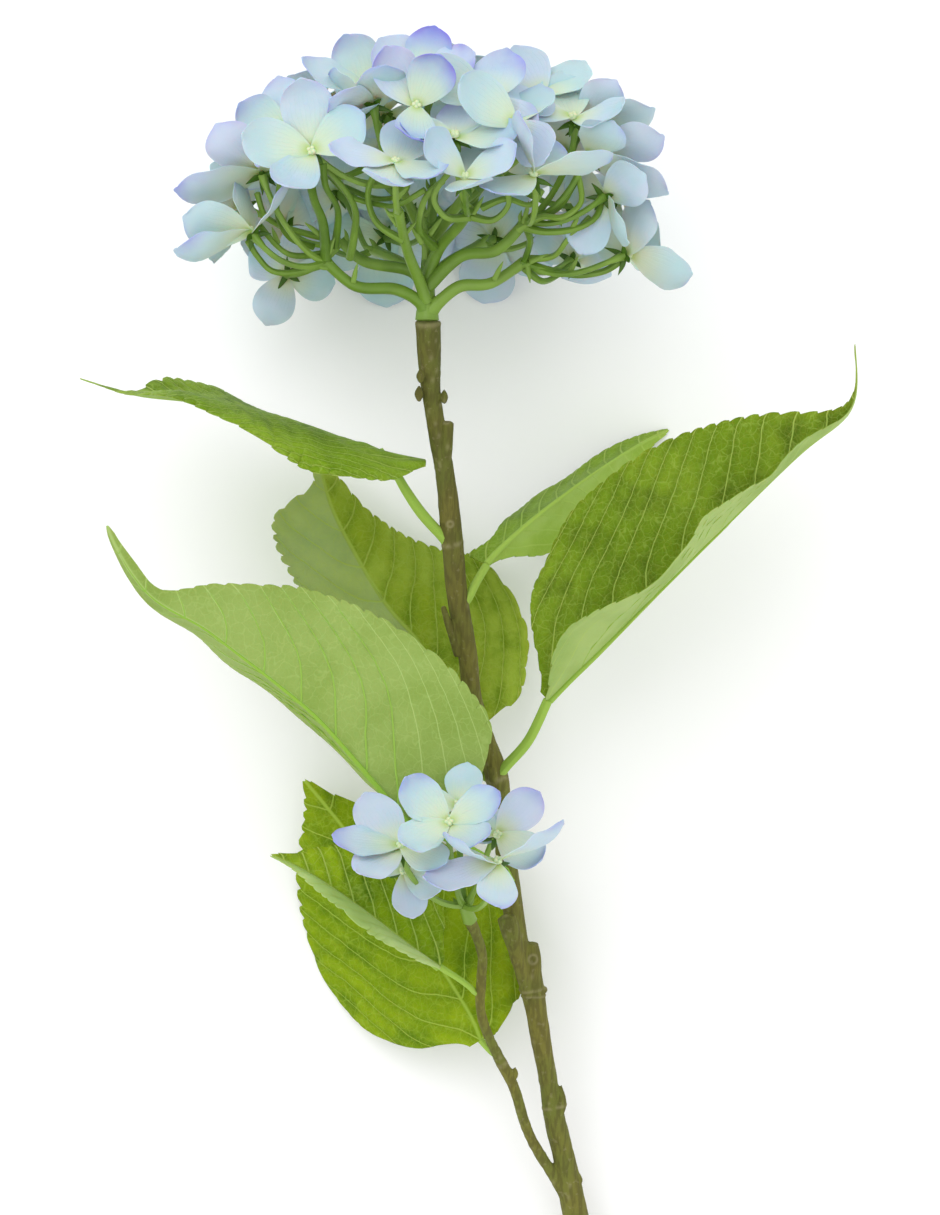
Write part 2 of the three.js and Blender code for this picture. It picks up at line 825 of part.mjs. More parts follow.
// Florets on the hidden side of the dome, row by row.
function rowPlaced() {
  const lean = radians(DOME_LEAN);
  const side = new THREE.Vector3(1, 0, 0);
  const top = new THREE.Vector3(0, Math.cos(lean), -Math.sin(lean));
  const front = new THREE.Vector3(0, Math.sin(lean), Math.cos(lean));
  const florets = [];
  HEAD_ROWS.forEach((row) => {
    for (let i = 0; i < row.count; i += 1) {
      const number = florets.length + 1;
      const share = row.count > 1 ? i / (row.count - 1) : 0;
      const bearing = radians(between(row.first, row.last, share) + between(-4, 4, chance(number, 30)));
      const lift = radians(row.lift + between(-4, 4, chance(number, 31)));
      const out = side.clone().multiplyScalar(Math.cos(lift) * Math.sin(bearing));
      out.addScaledVector(front, Math.cos(lift) * Math.cos(bearing));
      const centre = vector(DOME_MIDDLE).addScaledVector(out, DOME_RADIUS);
      centre.addScaledVector(top, DOME_RISE * Math.sin(lift));
      centre.z = Math.max(centre.z, LOWEST_FLORET);
      const facing = out.clone().multiplyScalar(1 / DOME_RADIUS);
      facing.addScaledVector(top, Math.sin(lift) / DOME_RISE).normalize();
      const room = Math.min(1, (centre.z + 4) / ROW_PETAL_LENGTH);
      const flatter = -Math.sqrt(1 - room * room);
      if (flatter < facing.z) {
        const keep = room / Math.hypot(facing.x, facing.y);
        facing.set(facing.x * keep, facing.y * keep, flatter);
      }
      const petals = evenPetals(facing, number);
      florets.push({ centre, facing, petals, piece: ROW_PIECE, plain: true });
    }
  });
  return florets;
}

// The stalk from a knot to the back of a floret, arriving square to it.
function floretStalk(knot, floret, extra = 0) {
  const seat = BUTTON_RADIUS * 0.75 + SEAT_GAP;
  const end = floret.centre.clone().addScaledVector(floret.facing, -seat);
  const start = vector(knot);
  const reach = start.distanceTo(end);
  const outward = end.clone().sub(start).normalize();
  const first = start.clone().addScaledVector(outward, reach * 0.4);
  first.y -= reach * STALK_SAG;
  const second = end.clone().addScaledVector(floret.facing, -Math.min(reach * 0.45, 13));
  const curve = new THREE.CubicBezierCurve3(start, first, second, end);
  const { root, middle, top } = FLORET_STALK;
  const shares = floret.plain ? [0, 0.4, 0.8, 1] : [0, 0.32, 0.7, 1];
  const radii = shares.map((share) => (share === 0 ? root : middle));
  radii[radii.length - 1] = top;
  const stations = shares.map((share, i) => {
    const point = curve.getPoint(share);
    return [point.x, point.y, Math.max(point.z, radii[i] + 0.1), radii[i]];
  });
  return bar(stations, floret.plain ? 3 : 4, extra);
}

function nearest(knots, floret) {
  const aim = floret.centre.clone().addScaledVector(floret.facing, -10);
  const gaps = knots.map((knot) => vector(knot).distanceTo(aim));
  return knots[gaps.indexOf(Math.min(...gaps))];
}

function headStalks(florets, extra = 0) {
  const foot = placed([HEAD_FOOT, HEAD_BRANCHES[0][0], [-14.4, 140, 75.5, 3]]);
  const bars = [bar(foot, 8, extra)];
  const knots = [];
  HEAD_BRANCHES.forEach((branch) => {
    const stations = placed(branch);
    bars.push(bar(smoothed(stations, 1), 5, extra));
    knots.push(stations[stations.length - 1]);
  });
  florets.forEach((floret) => {
    bars.push(floretStalk(nearest(knots, floret), floret, extra));
  });
  const { from, to, radius } = AXIS_BRACT;
  bars.push(bar(placed([[...from, radius], [...to, 0.4]]), 5, extra));
  return joined(bars);
}

function sideStalks(florets, extra = 0) {
  const [knot] = placed([SIDE_KNOT]);
  const top = placed([[-2, -69, 68, 1.9]])[0];
  const bars = [bar([knot, top], 6, extra)];
  florets.forEach((floret) => {
    bars.push(floretStalk(top, floret, extra));
  });
  return joined(bars);
}

function stemBars(extra = 0) {
  const bars = [
    bar(placed(SHOOT), 8, extra),
    bar(placed(CANE), 9, extra),
    bar(placed(SIDE_BRANCH), 6, extra),
  ];
  STUBS.forEach((stub) => bars.push(bar(placed(stub), 6, extra)));
  return joined(bars);
}

function stem() {
  const buds = BUDS.map(({ at, size }) => {
    const place = seen(...at);
    const ball = bodyOf(new THREE.OctahedronGeometry(1.15, 0)).scale(size);
    return ball.translate([place.x, place.y, place.z]);
  });
  const cut = seen(...STEM_CUT.at);
  const facing = vector(STEM_CUT.faces).normalize();
  const inward = facing.clone().negate();
  const whole = joined([stemBars(), ...buds]);
  const trimmed = whole.trimByPlane([inward.x, inward.y, inward.z], inward.dot(cut));
  return parted(trimmed.trimByPlane([0, 0, 1], 0))[0];
}

// The middle surface of a leaf blade as rows of five points: edge, half, midrib, half, edge.
function bladeRows(leaf) {
  const stations = smoothed(placed(leaf.rib), 8);
  const line = new THREE.CatmullRomCurve3(stations.map(vector));
  const points = line.getSpacedPoints(LEAF_ROWS);
  const tangents = directions(points);
  return points.map((point, row) => {
    const share = row / LEAF_ROWS;
    const tangent = tangents[row];
    const right = new THREE.Vector3().crossVectors(tangent, new THREE.Vector3(0, 0, 1)).normalize();
    const above = new THREE.Vector3().crossVectors(right, tangent);
    const tip = row % 2 === 1;
    const half = (side, sign) => {
      const cut = tip ? 1 : 1 - LEAF_TOOTH;
      const width = Math.max(along(side.widths, share) * cut, LEAF_NARROWEST);
      const spot = point.clone();
      return [0.25, 0.75].map((across, step) => {
        const angle = radians(along(side.rise, share) + side.curl * across);
        spot.addScaledVector(right, (sign * Math.cos(angle) * width) / 2);
        spot.addScaledVector(above, (Math.sin(angle) * width) / 2);
        const place = spot.clone();
        if (step === 1 && tip) {
          place.addScaledVector(tangent, LEAF_TOOTH_LEAN);
        }
        place.z = Math.max(place.z, LEAF_THICK / 2);
        return place;
      });
    };
    return [...half(leaf.left, -1).reverse(), point, ...half(leaf.right, 1)];
  });
}

// A sheet of even thickness over rows of points, split into the same triangles on both faces.
function sheet(rows, thick) {
  const columns = rows[0].length;
  const flat = rows.flat();
  const faces = [];
  for (let row = 0; row + 1 < rows.length; row += 1) {
    for (let column = 0; column + 1 < columns; column += 1) {
      const a = row * columns + column;
      const b = a + 1;
      const c = a + columns;
      const d = c + 1;
      faces.push([a, b, d], [a, d, c]);
    }
  }
  const normals = flat.map(() => new THREE.Vector3());
  const faceNormals = faces.map(([a, b, c]) => {
    const one = new THREE.Vector3().subVectors(flat[b], flat[a]);
    const two = new THREE.Vector3().subVectors(flat[c], flat[a]);
    return one.cross(two).normalize();
  });
  faces.forEach((face, i) => face.forEach((corner) => normals[corner].add(faceNormals[i])));
  normals.forEach((normal) => normal.normalize());
  const fit = flat.map(() => 1);
  faces.forEach((face, i) =>
    face.forEach((corner) => {
      fit[corner] = Math.min(fit[corner], Math.max(normals[corner].dot(faceNormals[i]), 0.6));
    }),
  );
  const shift = (point, i, sign) =>
    point.clone().addScaledVector(normals[i], (sign * thick) / 2 / fit[i]);
  const front = flat.map((point, i) => shift(point, i, 1));
  const back = flat.map((point, i) => shift(point, i, -1));
  const total = flat.length;
  const triangles = [...faces];
  faces.forEach(([a, b, c]) => triangles.push([a + total, c + total, b + total]));
  const rim = [];
  const lastRow = rows.length - 1;
  for (let column = 0; column < columns - 1; column += 1) {
    rim.push(column);
  }
  for (let row = 0; row < lastRow; row += 1) {
    rim.push(row * columns + columns - 1);
  }
  for (let column = columns - 1; column > 0; column -= 1) {
    rim.push(lastRow * columns + column);
  }
  for (let row = lastRow; row > 0; row -= 1) {
    rim.push(row * columns);
  }
  rim.forEach((corner, i) => {
    const next = rim[(i + 1) % rim.length];
    triangles.push([corner, corner + total, next + total], [corner, next + total, next]);
  });
  return body([...front, ...back], triangles);
}

function leafBody(leaf) {
  const blade = sheet(bladeRows(leaf), LEAF_THICK);
  return joined([blade, bar(smoothed(placed(leaf.stalk), 1), 6)]);
}

function meshOf(name, solid) {
  const made = solid.getMesh();
  const positions = new Float32Array(made.numVert * 3);
  for (let i = 0; i < made.numVert; i += 1) {
    const first = i * made.numProp;
    positions.set(made.vertProperties.subarray(first, first + 3), i * 3);
  }
  const geometry = new THREE.BufferGeometry();
  geometry.setAttribute("position", new THREE.BufferAttribute(positions, 3));
  geometry.setIndex(new THREE.BufferAttribute(new Uint32Array(made.triVerts), 1));
  geometry.computeVertexNormals();
  const [colour, roughness] = COLOURS[name] ?? PETAL_COLOUR;
  const material = new THREE.MeshStandardMaterial({ color: colour, roughness, metalness: 0 });
  const mesh = new THREE.Mesh(geometry, material);
  mesh.name = name;
  return mesh;
}

// Adds the petals of each piece of a bloom, cut clear of the stalks that carry them.
function addFlorets(group, florets, stalkRoom) {
  const pieces = [...new Set(florets.map((floret) => floret.piece))];
  pieces.forEach((piece) => {
    const members = florets.filter((floret) => floret.piece === piece);
    const bodies = parted(joined(members.map(floretBody)).subtract(stalkRoom));
    if (bodies.length !== 1) {
      throw new Error(`${piece} is ${bodies.length} separate bodies`);
    }
    group.add(meshOf(piece, bodies[0]));
  });
}

function hydrangea() {
  const group = new THREE.Group();
  const stemRoom = stemBars(SEAT_GAP);
  group.add(meshOf("stem", stem()));

  Object.entries(LEAVES).forEach(([name, leaf]) => {
    const [solid] = parted(leafBody(leaf).subtract(stemRoom).trimByPlane([0, 0, 1], 0));
    group.add(meshOf(name, solid));
  });

  const headFlorets = [...handPlaced(HEAD_FLORETS), ...rowPlaced()];
  const [headSolid] = parted(headStalks(headFlorets).subtract(stemRoom));
  group.add(meshOf("head_stalks", headSolid));
  addFlorets(group, headFlorets, headStalks(headFlorets, SEAT_GAP));

  const sideFlorets = handPlaced(SIDE_FLORETS);
  const [sideSolid] = parted(sideStalks(sideFlorets).subtract(stemRoom));
  group.add(meshOf("side_bloom_stalks", sideSolid));
  addFlorets(group, sideFlorets, sideStalks(sideFlorets, SEAT_GAP));
  return group;
}

export default hydrangea();
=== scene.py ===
"""A cut hydrangea stem that lies on its back under an even, soft light.

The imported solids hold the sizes. This script dresses them: petals with fanned veins and violet
tips, ribbed green stalks, toothed and veined leaves, and a barked stem. Places are written as
(right, up, height) in millimetres, the way the eye above the table sees them, and a fourth
number is a radius. `Eye.place` turns them into the object's own frame.
"""

from __future__ import annotations

import itertools
import logging
import math
from collections.abc import Callable
from dataclasses import dataclass, field
from enum import Enum
from typing import ClassVar

import bpy
import numpy as np
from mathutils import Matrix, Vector, noise


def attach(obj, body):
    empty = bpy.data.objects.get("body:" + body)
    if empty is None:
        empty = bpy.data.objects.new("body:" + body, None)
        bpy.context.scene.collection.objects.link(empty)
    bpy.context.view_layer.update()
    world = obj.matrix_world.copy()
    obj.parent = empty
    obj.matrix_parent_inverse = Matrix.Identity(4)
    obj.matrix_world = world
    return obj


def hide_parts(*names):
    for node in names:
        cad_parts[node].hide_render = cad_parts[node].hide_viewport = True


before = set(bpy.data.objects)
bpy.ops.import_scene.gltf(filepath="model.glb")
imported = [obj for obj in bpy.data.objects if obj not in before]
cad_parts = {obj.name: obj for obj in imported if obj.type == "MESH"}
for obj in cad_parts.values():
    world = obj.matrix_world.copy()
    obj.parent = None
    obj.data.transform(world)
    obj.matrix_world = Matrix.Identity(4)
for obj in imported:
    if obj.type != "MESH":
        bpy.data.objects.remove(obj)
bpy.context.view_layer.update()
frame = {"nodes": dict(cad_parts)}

logger = logging.getLogger("hydrangea")

Numbers = tuple[float, ...]
Station = tuple[float, float, float, float]
Corners = tuple[int, ...]
Marks = dict[str, np.ndarray | float]

MM = 0.001
BODY = "root"
LEAF_MAP_MM = 100.0
UPRIGHT = np.array([0.0, 0.0, 1.0])


class Face(Enum):
    """Which face of a leaf blade looks up from its midrib."""

    UPPER = 1.0
    UNDERSIDE = 0.0


class Slot(str, Enum):
    """Material slots of the record."""

    PETAL = "petal"
    LEAF = "leaf"
    STALK = "green_stalk"
    BARK = "bark"


@dataclass(frozen=True)
class FloretPlan:
    """A floret given one by one.

    Attributes:
        at: Its middle as (right, up, height).
        faces: The direction that it faces.
        blush: How violet its petal tips are, from 0 to 1.
        petals: The reach of each petal, with a roll in degrees where it has one.
    """

    at: Numbers
    faces: Numbers
    blush: float
    petals: tuple[Numbers, ...]


@dataclass(frozen=True)
class FloretRow:
    """A row of florets round the hidden back of the dome; lift and bearings are in degrees."""

    lift: float
    first: float
    last: float
    count: int


@dataclass(frozen=True)
class Half:
    """One half of a leaf blade; lists run evenly from foot to tip.

    Attributes:
        widths: Breadth, in mm.
        rise: Slope at the midrib, in degrees, upwards to the rim.
        curl: How much the slope grows up to the rim, in degrees.
        fold_sheen_and_shade: How far its upward side has the other face's colour: the real
            underside of a folded half, a painted sheen on a paler half and painted shade on a
            darker one.
        toothed: Depth of the teeth, as a share of the usual one.
    """

    widths: Numbers
    rise: Numbers
    curl: float
    fold_sheen_and_shade: float = 0.0
    toothed: Numbers = (1.0, 1.0, 1.0)


@dataclass(frozen=True)
class Ring:
    """A raised ring round the stem: its middle as seen from above, axis, height and width."""

    at: Numbers
    axis: Numbers
    height: float
    width: float


HEAD_FLORETS: dict[str, list[FloretPlan]] = {
    "head_florets_front": [
        FloretPlan((-52.7, 182, 117), (-0.15, 0.15, 0.97), 0.5, (
            (-3.5, 23, 4), (-22, 5, 4), (-9, -12, 13), (17, 11, 7),
        )),
        FloretPlan((-24.7, 178, 134), (0.05, 0.85, 0.5), 0.75, (
            (5, 16, -13), (-21, 5, 6), (-3, -6, 21), (15, -4, 13),
        )),
        FloretPlan((-1.7, 173, 131), (0, 0.75, 0.65), 0.5, (
            (3, 12, -17), (-12, 14, 7), (2, -3, 19), (16, 10, 6),
        )),
        FloretPlan((21.3, 174, 127), (-0.1, 0.8, 0.6), 0.55, (
            (6, 13, -14), (-5, 19, 9, 70), (-15, -5, 16), (25, 6, 4, -50),
        )),
        FloretPlan((6, 199, 114), (-0.1, 0.35, 0.93), 0.9, (
            (-20, 12, 6), (14, -12, 8), (6, 18, -10),
        )),
        FloretPlan((15, 191, 120), (-0.6, 0.5, 0.6), 0.35, (
            (-17, 15, 8, 25), (10, -12, 14), (8, 14, -12),
        )),
        FloretPlan((34.3, 193, 104), (-0.15, 0.8, 0.55), 0.3, (
            (-4, 17, -14), (-23, 6, 8), (16, 4, 12),
        )),
        FloretPlan((24, 201, 96), (-0.1, 0.75, 0.6), 0.25, (
            (-9, 17, -10), (-6, -8, 18), (14, 12, -8),
        )),
        FloretPlan((37.5, 191, 90), (0.25, 0.75, -0.6), 0.5, (
            (11, 14, 8), (23, 4, 6), (2, 8, -20),
        )),
        FloretPlan((39.5, 182, 100), (0.3, 0.85, -0.45), 0.6, (
            (8, 9, 15), (24, 4, 7), (26, -13, -4), (-2, 14, -16),
        )),
        FloretPlan((45, 167, 97), (0.35, 0.35, -0.85), 0.2, (
            (13, 6, 15), (7, -16, 9, 40), (-8, -18, -6), (-12, 6, -14),
        )),
        FloretPlan((-18, 197, 121), (0.2, 0.3, 0.93), 0.95, (
            (-10, 19, 2), (1, -12, 16), (8, 16, 6),
        )),
        FloretPlan((-32.3, 198, 110), (-0.1, 0.75, -0.65), 0.5, (
            (-14, 1, 12), (4, 10, 17), (10, 9, -12), (-14, 9, -12),
        )),
        FloretPlan((-5, 187, 125), (0, 0.8, 0.6), 0.8, (
            (4, 14, -15), (-18, 5, 3), (21, 3, 2),
        )),
        FloretPlan((-34, 202, 98), (-0.3, 0.75, 0.55), 0.6, (
            (-8, 19, -5), (-21, 10, 3), (-4, -8, 18), (16, 6, 4),
        )),
        FloretPlan((-16, 207, 104), (0, 0.6, 0.8), 1, (
            (-14, 13, -6), (17, 7, 0), (4, 17, -6),
        )),
    ],
    "head_florets_left": [
        FloretPlan((-62, 189, 101), (-0.5, 0.5, 0.7), 0.6, (
            (-15, 9, -4), (-6, -12, 14), (14, 4, 2), (-2, 18, -10),
        )),
        FloretPlan((-69.5, 175, 91), (-0.2, 0.75, -0.6), 0.7, (
            (-28, -6, 5), (-14, 14, 13), (10, 12, 10), (-6, -4, -20),
        )),
    ],
    "head_floret_far_left": [
        FloretPlan((-73, 155, 96), (-0.45, 0.6, -0.5), 0.6, (
            (-22, 5, 6, 20), (-24, -7, 8, -25), (12, 17, 9, 40), (-4, 16, -8),
        )),
    ],
    "head_floret_low_left": [
        FloretPlan((-61, 141, 50), (-0.1, 0.1, -0.98), 0.15, (
            (-7, -17, 3), (16, -3, 1), (8, 15, -6), (-13, 8, -9),
        )),
    ],
    "head_floret_low_right": [
        FloretPlan((34.3, 146, 58), (0.4, 0.3, -0.85), 0.15, (
            (6, 15, 9), (14, 5, 8), (8, -6, -18), (-12, 9, -8),
        )),
    ],
    "head_floret_right": [
        FloretPlan((52.7, 147.5, 84), (0.75, 0.3, -0.55), 0.35, (
            (7, 17, 8), (20, -7, 8), (8, 6, -19), (-12, 8, -12),
        )),
    ],
    "head_florets_rear": [
        FloretPlan((-14, 204, 78), (0.05, 0.97, 0.1), 0.3, (
            (20, -2, 7), (-6, -1, 20), (-21, 0, -6), (7, 1, -20),
        )),
        FloretPlan((-43, 197, 73), (-0.4, 0.88, 0.05), 0.3, (
            (17, 7, 8), (-8, -4, 20), (-17, -6, -7), (5, 4, -20),
        )),
        FloretPlan((15, 199, 71), (0.35, 0.9, 0.05), 0.3, (
            (18, -6, 7), (-5, 4, 20), (-18, 7, -6), (7, 0, -20),
        )),
    ],
}

SIDE_FLORETS: dict[str, list[FloretPlan]] = {
    "side_bloom_florets_front": [
        FloretPlan((-7, -42, 99), (0.05, 0.45, 0.88), 0.75, (
            (-14, 15, 4), (-15, -6, 12), (12, -4, 15), (16, 10, 4),
        )),
        FloretPlan((-23, -50, 91), (-0.1, 0.75, 0.6), 0.65, (
            (-12, 18, -8), (-22, 4, 4), (-14, -7, 13), (15, -5, 11),
        )),
        FloretPlan((9.3, -55, 101), (0.05, 0.75, 0.62), 0.65, (
            (-17, 10, 11, 25), (-24, -5, 5), (0, -13, 14), (21, 13, 4, -50),
        )),
    ],
    "side_bloom_florets_rear": [
        FloretPlan((9, -46, 85), (0.2, 0.2, 0.95), 0.6, (
            (14, 14, 2), (14, -8, 10), (-12, 8, -8),
        )),
        FloretPlan((-4, -36, 80), (0, 0.3, 0.95), 0.15, (
            (3, 14, -6), (-17, 2, 0), (14, -10, 2),
        )),
    ],
    "side_bloom_floret_low": [
        FloretPlan((-22, -58, 80), (0, 0.2, 0.97), 0.2, (
            (3, -15, 6), (12, -6, 6), (-12, 6, -4),
        )),
    ],
}

HEAD_ROWS: list[FloretRow] = [
    FloretRow(lift=12, first=130, last=230, count=4),
    FloretRow(lift=16, first=100, last=260, count=2),
    FloretRow(lift=40, first=112, last=248, count=4),
    FloretRow(lift=60, first=90, last=270, count=4),
    FloretRow(lift=82, first=180, last=180, count=1),
    FloretRow(lift=25, first=215, last=215, count=1),
    FloretRow(lift=27, first=183, last=183, count=1),
]

HEAD_BRANCHES: list[list[Station]] = [
    [
        (-14.3, 128, 75, 3.7), (-17, 132, 77, 2.6), (-25, 136, 80, 2.5), (-38, 137, 82, 2.3),
        (-48, 145, 84, 2),
    ],
    [(-14.5, 136, 76, 3), (-20, 142, 74, 2.5), (-35, 145, 68, 2.3), (-43, 152, 66, 2)],
    [(-14.5, 132, 77, 2.6), (-17, 139, 82, 2.4), (-21, 149, 94, 2.1), (-24, 162, 113, 1.8)],
    [
        (-14, 128, 75, 3.4), (-10, 132, 77, 2.6), (-3, 137, 79, 2.5), (7, 138, 80, 2.3),
        (18, 145, 78, 2),
    ],
    [(-14, 137, 77, 3), (-3, 147, 84, 2.5), (9, 149, 90, 2.3), (19, 159, 96, 2)],
    [(-14.5, 140, 77, 3), (-10, 150, 84, 2.4), (-3, 158, 96, 2.2), (0, 163, 104, 2)],
    [(-14.5, 134, 75, 3.2), (-14, 145, 70, 2.8), (-13, 158, 66, 2.3), (-12, 170, 68, 1.9)],
    [(-14.5, 136, 74, 2.8), (-20, 143, 62, 2.4), (-32, 149, 45, 2)],
    [(-14.5, 136, 74, 2.8), (-8, 144, 62, 2.4), (4, 151, 45, 2)],
    [(-14.5, 140, 72, 2.6), (-14, 150, 52, 2.2), (-13, 158, 38, 2)],
    [(-14, 150, 69, 2.5), (-19, 161, 82, 2), (-24, 172, 94, 1.8)],
    [(-14, 150, 69, 2.5), (-4, 164, 84, 2), (4, 175, 92, 1.8)],
    [(-13, 156, 67, 2.3), (-25, 168, 58, 2), (-34, 177, 56, 1.8)],
    [(-13, 156, 67, 2.3), (0, 167, 58, 2), (10, 175, 55, 1.8)],
]

HEAD_LOOPS: list[list[Station]] = [
    [
        (-46, 145, 84, 1.5), (-58, 141.6, 87, 1.2), (-66, 142, 90, 1.1), (-71, 147, 92, 1.1),
        (-74, 152, 95, 1.3),
    ],
    [(-47, 148, 83, 1.4), (-58, 147, 86, 1.1), (-64, 150, 90, 1), (-70, 157, 95, 1.2)],
    [(-49, 153, 82, 1.3), (-60, 156, 84, 1.1), (-68, 160, 88, 1), (-71, 168, 91, 1.2)],
    [
        (-52, 150, 80, 1.3), (-60, 153, 83, 1.1), (-64, 160, 88, 1.1), (-64, 168, 93, 1),
        (-62, 178, 97, 1.2),
    ],
    [(-48, 146, 85, 2), (-49, 158, 92, 1.7), (-52, 166, 99, 1.5), (-54, 176, 108, 1.6)],
    [(-45, 150, 84, 1.5), (-44, 162, 94, 1.2), (-48, 170, 102, 1.2), (-49, 178, 108, 1.4)],
    [(-40, 146, 82, 1.6), (-38, 160, 92, 1.3), (-41, 168, 99, 1.2), (-48, 176, 104, 1.2)],
    [
        (-47, 174, 100, 1.1), (-40, 167, 97, 1), (-30, 164, 98, 1), (-24, 164, 103, 1),
        (-15, 169, 108, 1.2),
    ],
    [(-42, 170, 92, 1.1), (-31, 166, 94, 1), (-22, 168, 103, 1), (-20, 176, 112, 1.2)],
    [(-22, 152, 100, 1.6), (-31, 158, 99, 1.2), (-34, 168, 100, 1.1), (-30, 178, 106, 1.3)],
    [(-12, 150, 86, 1.9), (-17, 156, 96, 1.5), (-15, 166, 106, 1.2), (-9, 172, 112, 1.2)],
    [(0, 160, 102, 1.7), (-8, 160, 106, 1.3), (-12, 167, 110, 1.1), (-6, 176, 116, 1.2)],
    [(1, 160, 103, 1.6), (8, 159, 106, 1.2), (13, 165, 110, 1.1), (10, 174, 116, 1.3)],
    [(4, 163, 105, 1.4), (12, 166, 109, 1.1), (20, 164, 110, 1), (24, 169, 112, 1.2)],
    [
        (17, 157, 95, 1.7), (25, 155, 98, 1.3), (35, 156, 99, 1.2), (42, 160, 98, 1.1),
        (44, 167, 97, 1.4),
    ],
    [(18, 158, 96, 1.8), (29, 163, 99, 1.4), (34, 170, 101, 1.3), (38, 178, 101, 1.4)],
    [
        (16, 156, 95, 1.6), (24, 160, 100, 1.2), (31, 160, 103, 1.1), (37, 165, 103, 1),
        (36, 174, 102, 1.2),
    ],
    [
        (17, 145, 79, 1.7), (26, 142.4, 80, 1.3), (36, 140.6, 81, 1.2), (45, 142, 82, 1.2),
        (51, 146, 84, 1.4),
    ],
    [(18, 143, 78, 1.4), (24, 138.6, 75, 1.2), (30, 141, 68, 1.1), (34, 145, 60, 1.3)],
    [(20, 146, 79, 1.4), (28, 147, 84, 1.1), (33, 153, 92, 1.1), (40, 160, 96, 1.2)],
    [(18, 158, 95, 1.5), (20, 152, 88, 1.2), (18, 145, 79, 1.3)],
]

SPRIGS: list[tuple[Numbers, Numbers]] = [
    ((-24, 157, 105), (-4.5, 6, 2)),
    ((-23, 153, 101), (5, 5, 3)),
    ((-16, 151, 94), (-4, 6.5, 3)),
    ((-13.6, 154, 90), (4.6, 6, 3)),
    ((-25.4, 165, 113), (4.6, 4.5, 3)),
    ((-48, 146, 86), (3, 7, 2)),
    ((-39, 138, 84), (1.5, 6.5, 2.5)),
    ((-50, 154, 88), (-5, 4, 2)),
    ((8, 139, 83), (3, 6, 2.5)),
    ((19, 145, 80), (1, -7, 1)),
    ((20, 145, 81), (6, 2.5, 2)),
    ((18, 158, 98), (1.5, 7, 2)),
    ((33, 141, 80), (3, 5.5, 2)),
    ((34, 156, 99), (2.5, 5, 2)),
    ((-64, 151, 88), (-2, 5.5, 2)),
    ((1, 161, 105), (3.5, 5.5, 3)),
]

STUBS: list[list[Station]] = [
    [(-8.6, 58, 63, 1.6), (-8, 74, 66.5, 1.6), (-7.4, 88, 69.6, 1.9), (-7.2, 91.5, 70.4, 1.8)],
    [(-4, 14, 53.5, 1.4), (-7, 24, 57.5, 1.3), (-9, 30, 59.5, 0.9)],
    [
        (19.4, -100, 32.4, 2), (17, -91, 35, 2.3), (15.2, -84, 37, 2.8), (13.4, -77.6, 39.2, 3.2),
        (12, -73.4, 40.4, 3),
    ],
    [(9, -31, 46, 2), (7.6, -26, 48.6, 1.7), (7, -23.6, 49.6, 1.2)],
]

SHOOT: list[Station] = [
    (-14, 125, 75, 4.3), (-14, 122, 74.4, 4.1), (-13.5, 112, 72.3, 3.9), (-13, 102, 70, 3.2),
    (-11, 89, 67.5, 3.1), (-8, 72, 64, 3.2), (-6, 52, 60, 3.7), (-4, 32, 56, 3.5),
    (-1, 16, 53, 3.2), (1, -1, 50, 3.2), (5, -14, 47.5, 3.2), (9, -27, 45, 3.9),
    (11, -44, 41.5, 3.4), (13, -61, 38, 3.6), (15.6, -78, 35, 3.4), (19.2, -96, 30.6, 2.9),
    (22.8, -112, 27.5, 2.5),
]

CANE: list[Station] = [
    (20.4, -82.2, 33.2, 2.3), (20.8, -87, 32.4, 2.9), (21.2, -93, 31.4, 2.9),
    (21.6, -98.6, 30.4, 3.4), (22.2, -105, 29.4, 3.4), (23.4, -112.6, 27.6, 3.4),
    (25.4, -123.6, 25, 3.2), (26.6, -132, 23.2, 3.2), (28, -140, 21.4, 3.6), (31, -152, 18.4, 3.7),
    (32.8, -161, 16.4, 4), (35.2, -173, 13.6, 4.4), (38, -193, 9, 5.1), (42, -214, 5.1, 5.5),
    (43.5, -222, 4.6, 5.5),
]

SIDE_BRANCH: list[Station] = [
    (33.4, -169, 14.8, 2.2), (28.6, -160.4, 18.4, 2.2), (24.4, -154.3, 21.4, 1.9),
    (20.6, -147.7, 25.2, 1.8), (18, -141, 28.6, 1.8), (16, -134.3, 31.8, 1.8),
    (13.6, -127.7, 34.6, 2), (10, -121, 37.4, 1.8), (6.6, -114, 41.4, 1.7),
    (4.2, -107.5, 44.4, 1.7), (3.4, -102, 47, 1.7), (3.8, -94, 51, 1.7), (4, -86, 55, 1.7),
    (2, -79, 59, 1.8), (0, -74.5, 62.5, 2.2),
]

BUDS: list[tuple[Numbers, Numbers]] = [
    ((-16.5, 107, 75.4), (1.5, 2.3, 1.5)),
    ((-17, 101, 73.6), (1.7, 2.4, 1.6)),
    ((-8.6, 100, 72), (1.4, 2.3, 1.5)),
    ((-15.5, 112.6, 75), (1.2, 2.2, 1.3)),
    ((22.6, -109.6, 31), (1.2, 2, 1.2)),
    ((30.4, -135, 24), (1.9, 5, 2.1)),
    ((36, -161, 16.8), (1.7, 2.3, 1.8)),
    ((15, -125.6, 36), (1.3, 2.1, 1.6)),
    ((24.6, -97.8, 31), (1.1, 1.2, 1.6)),
]

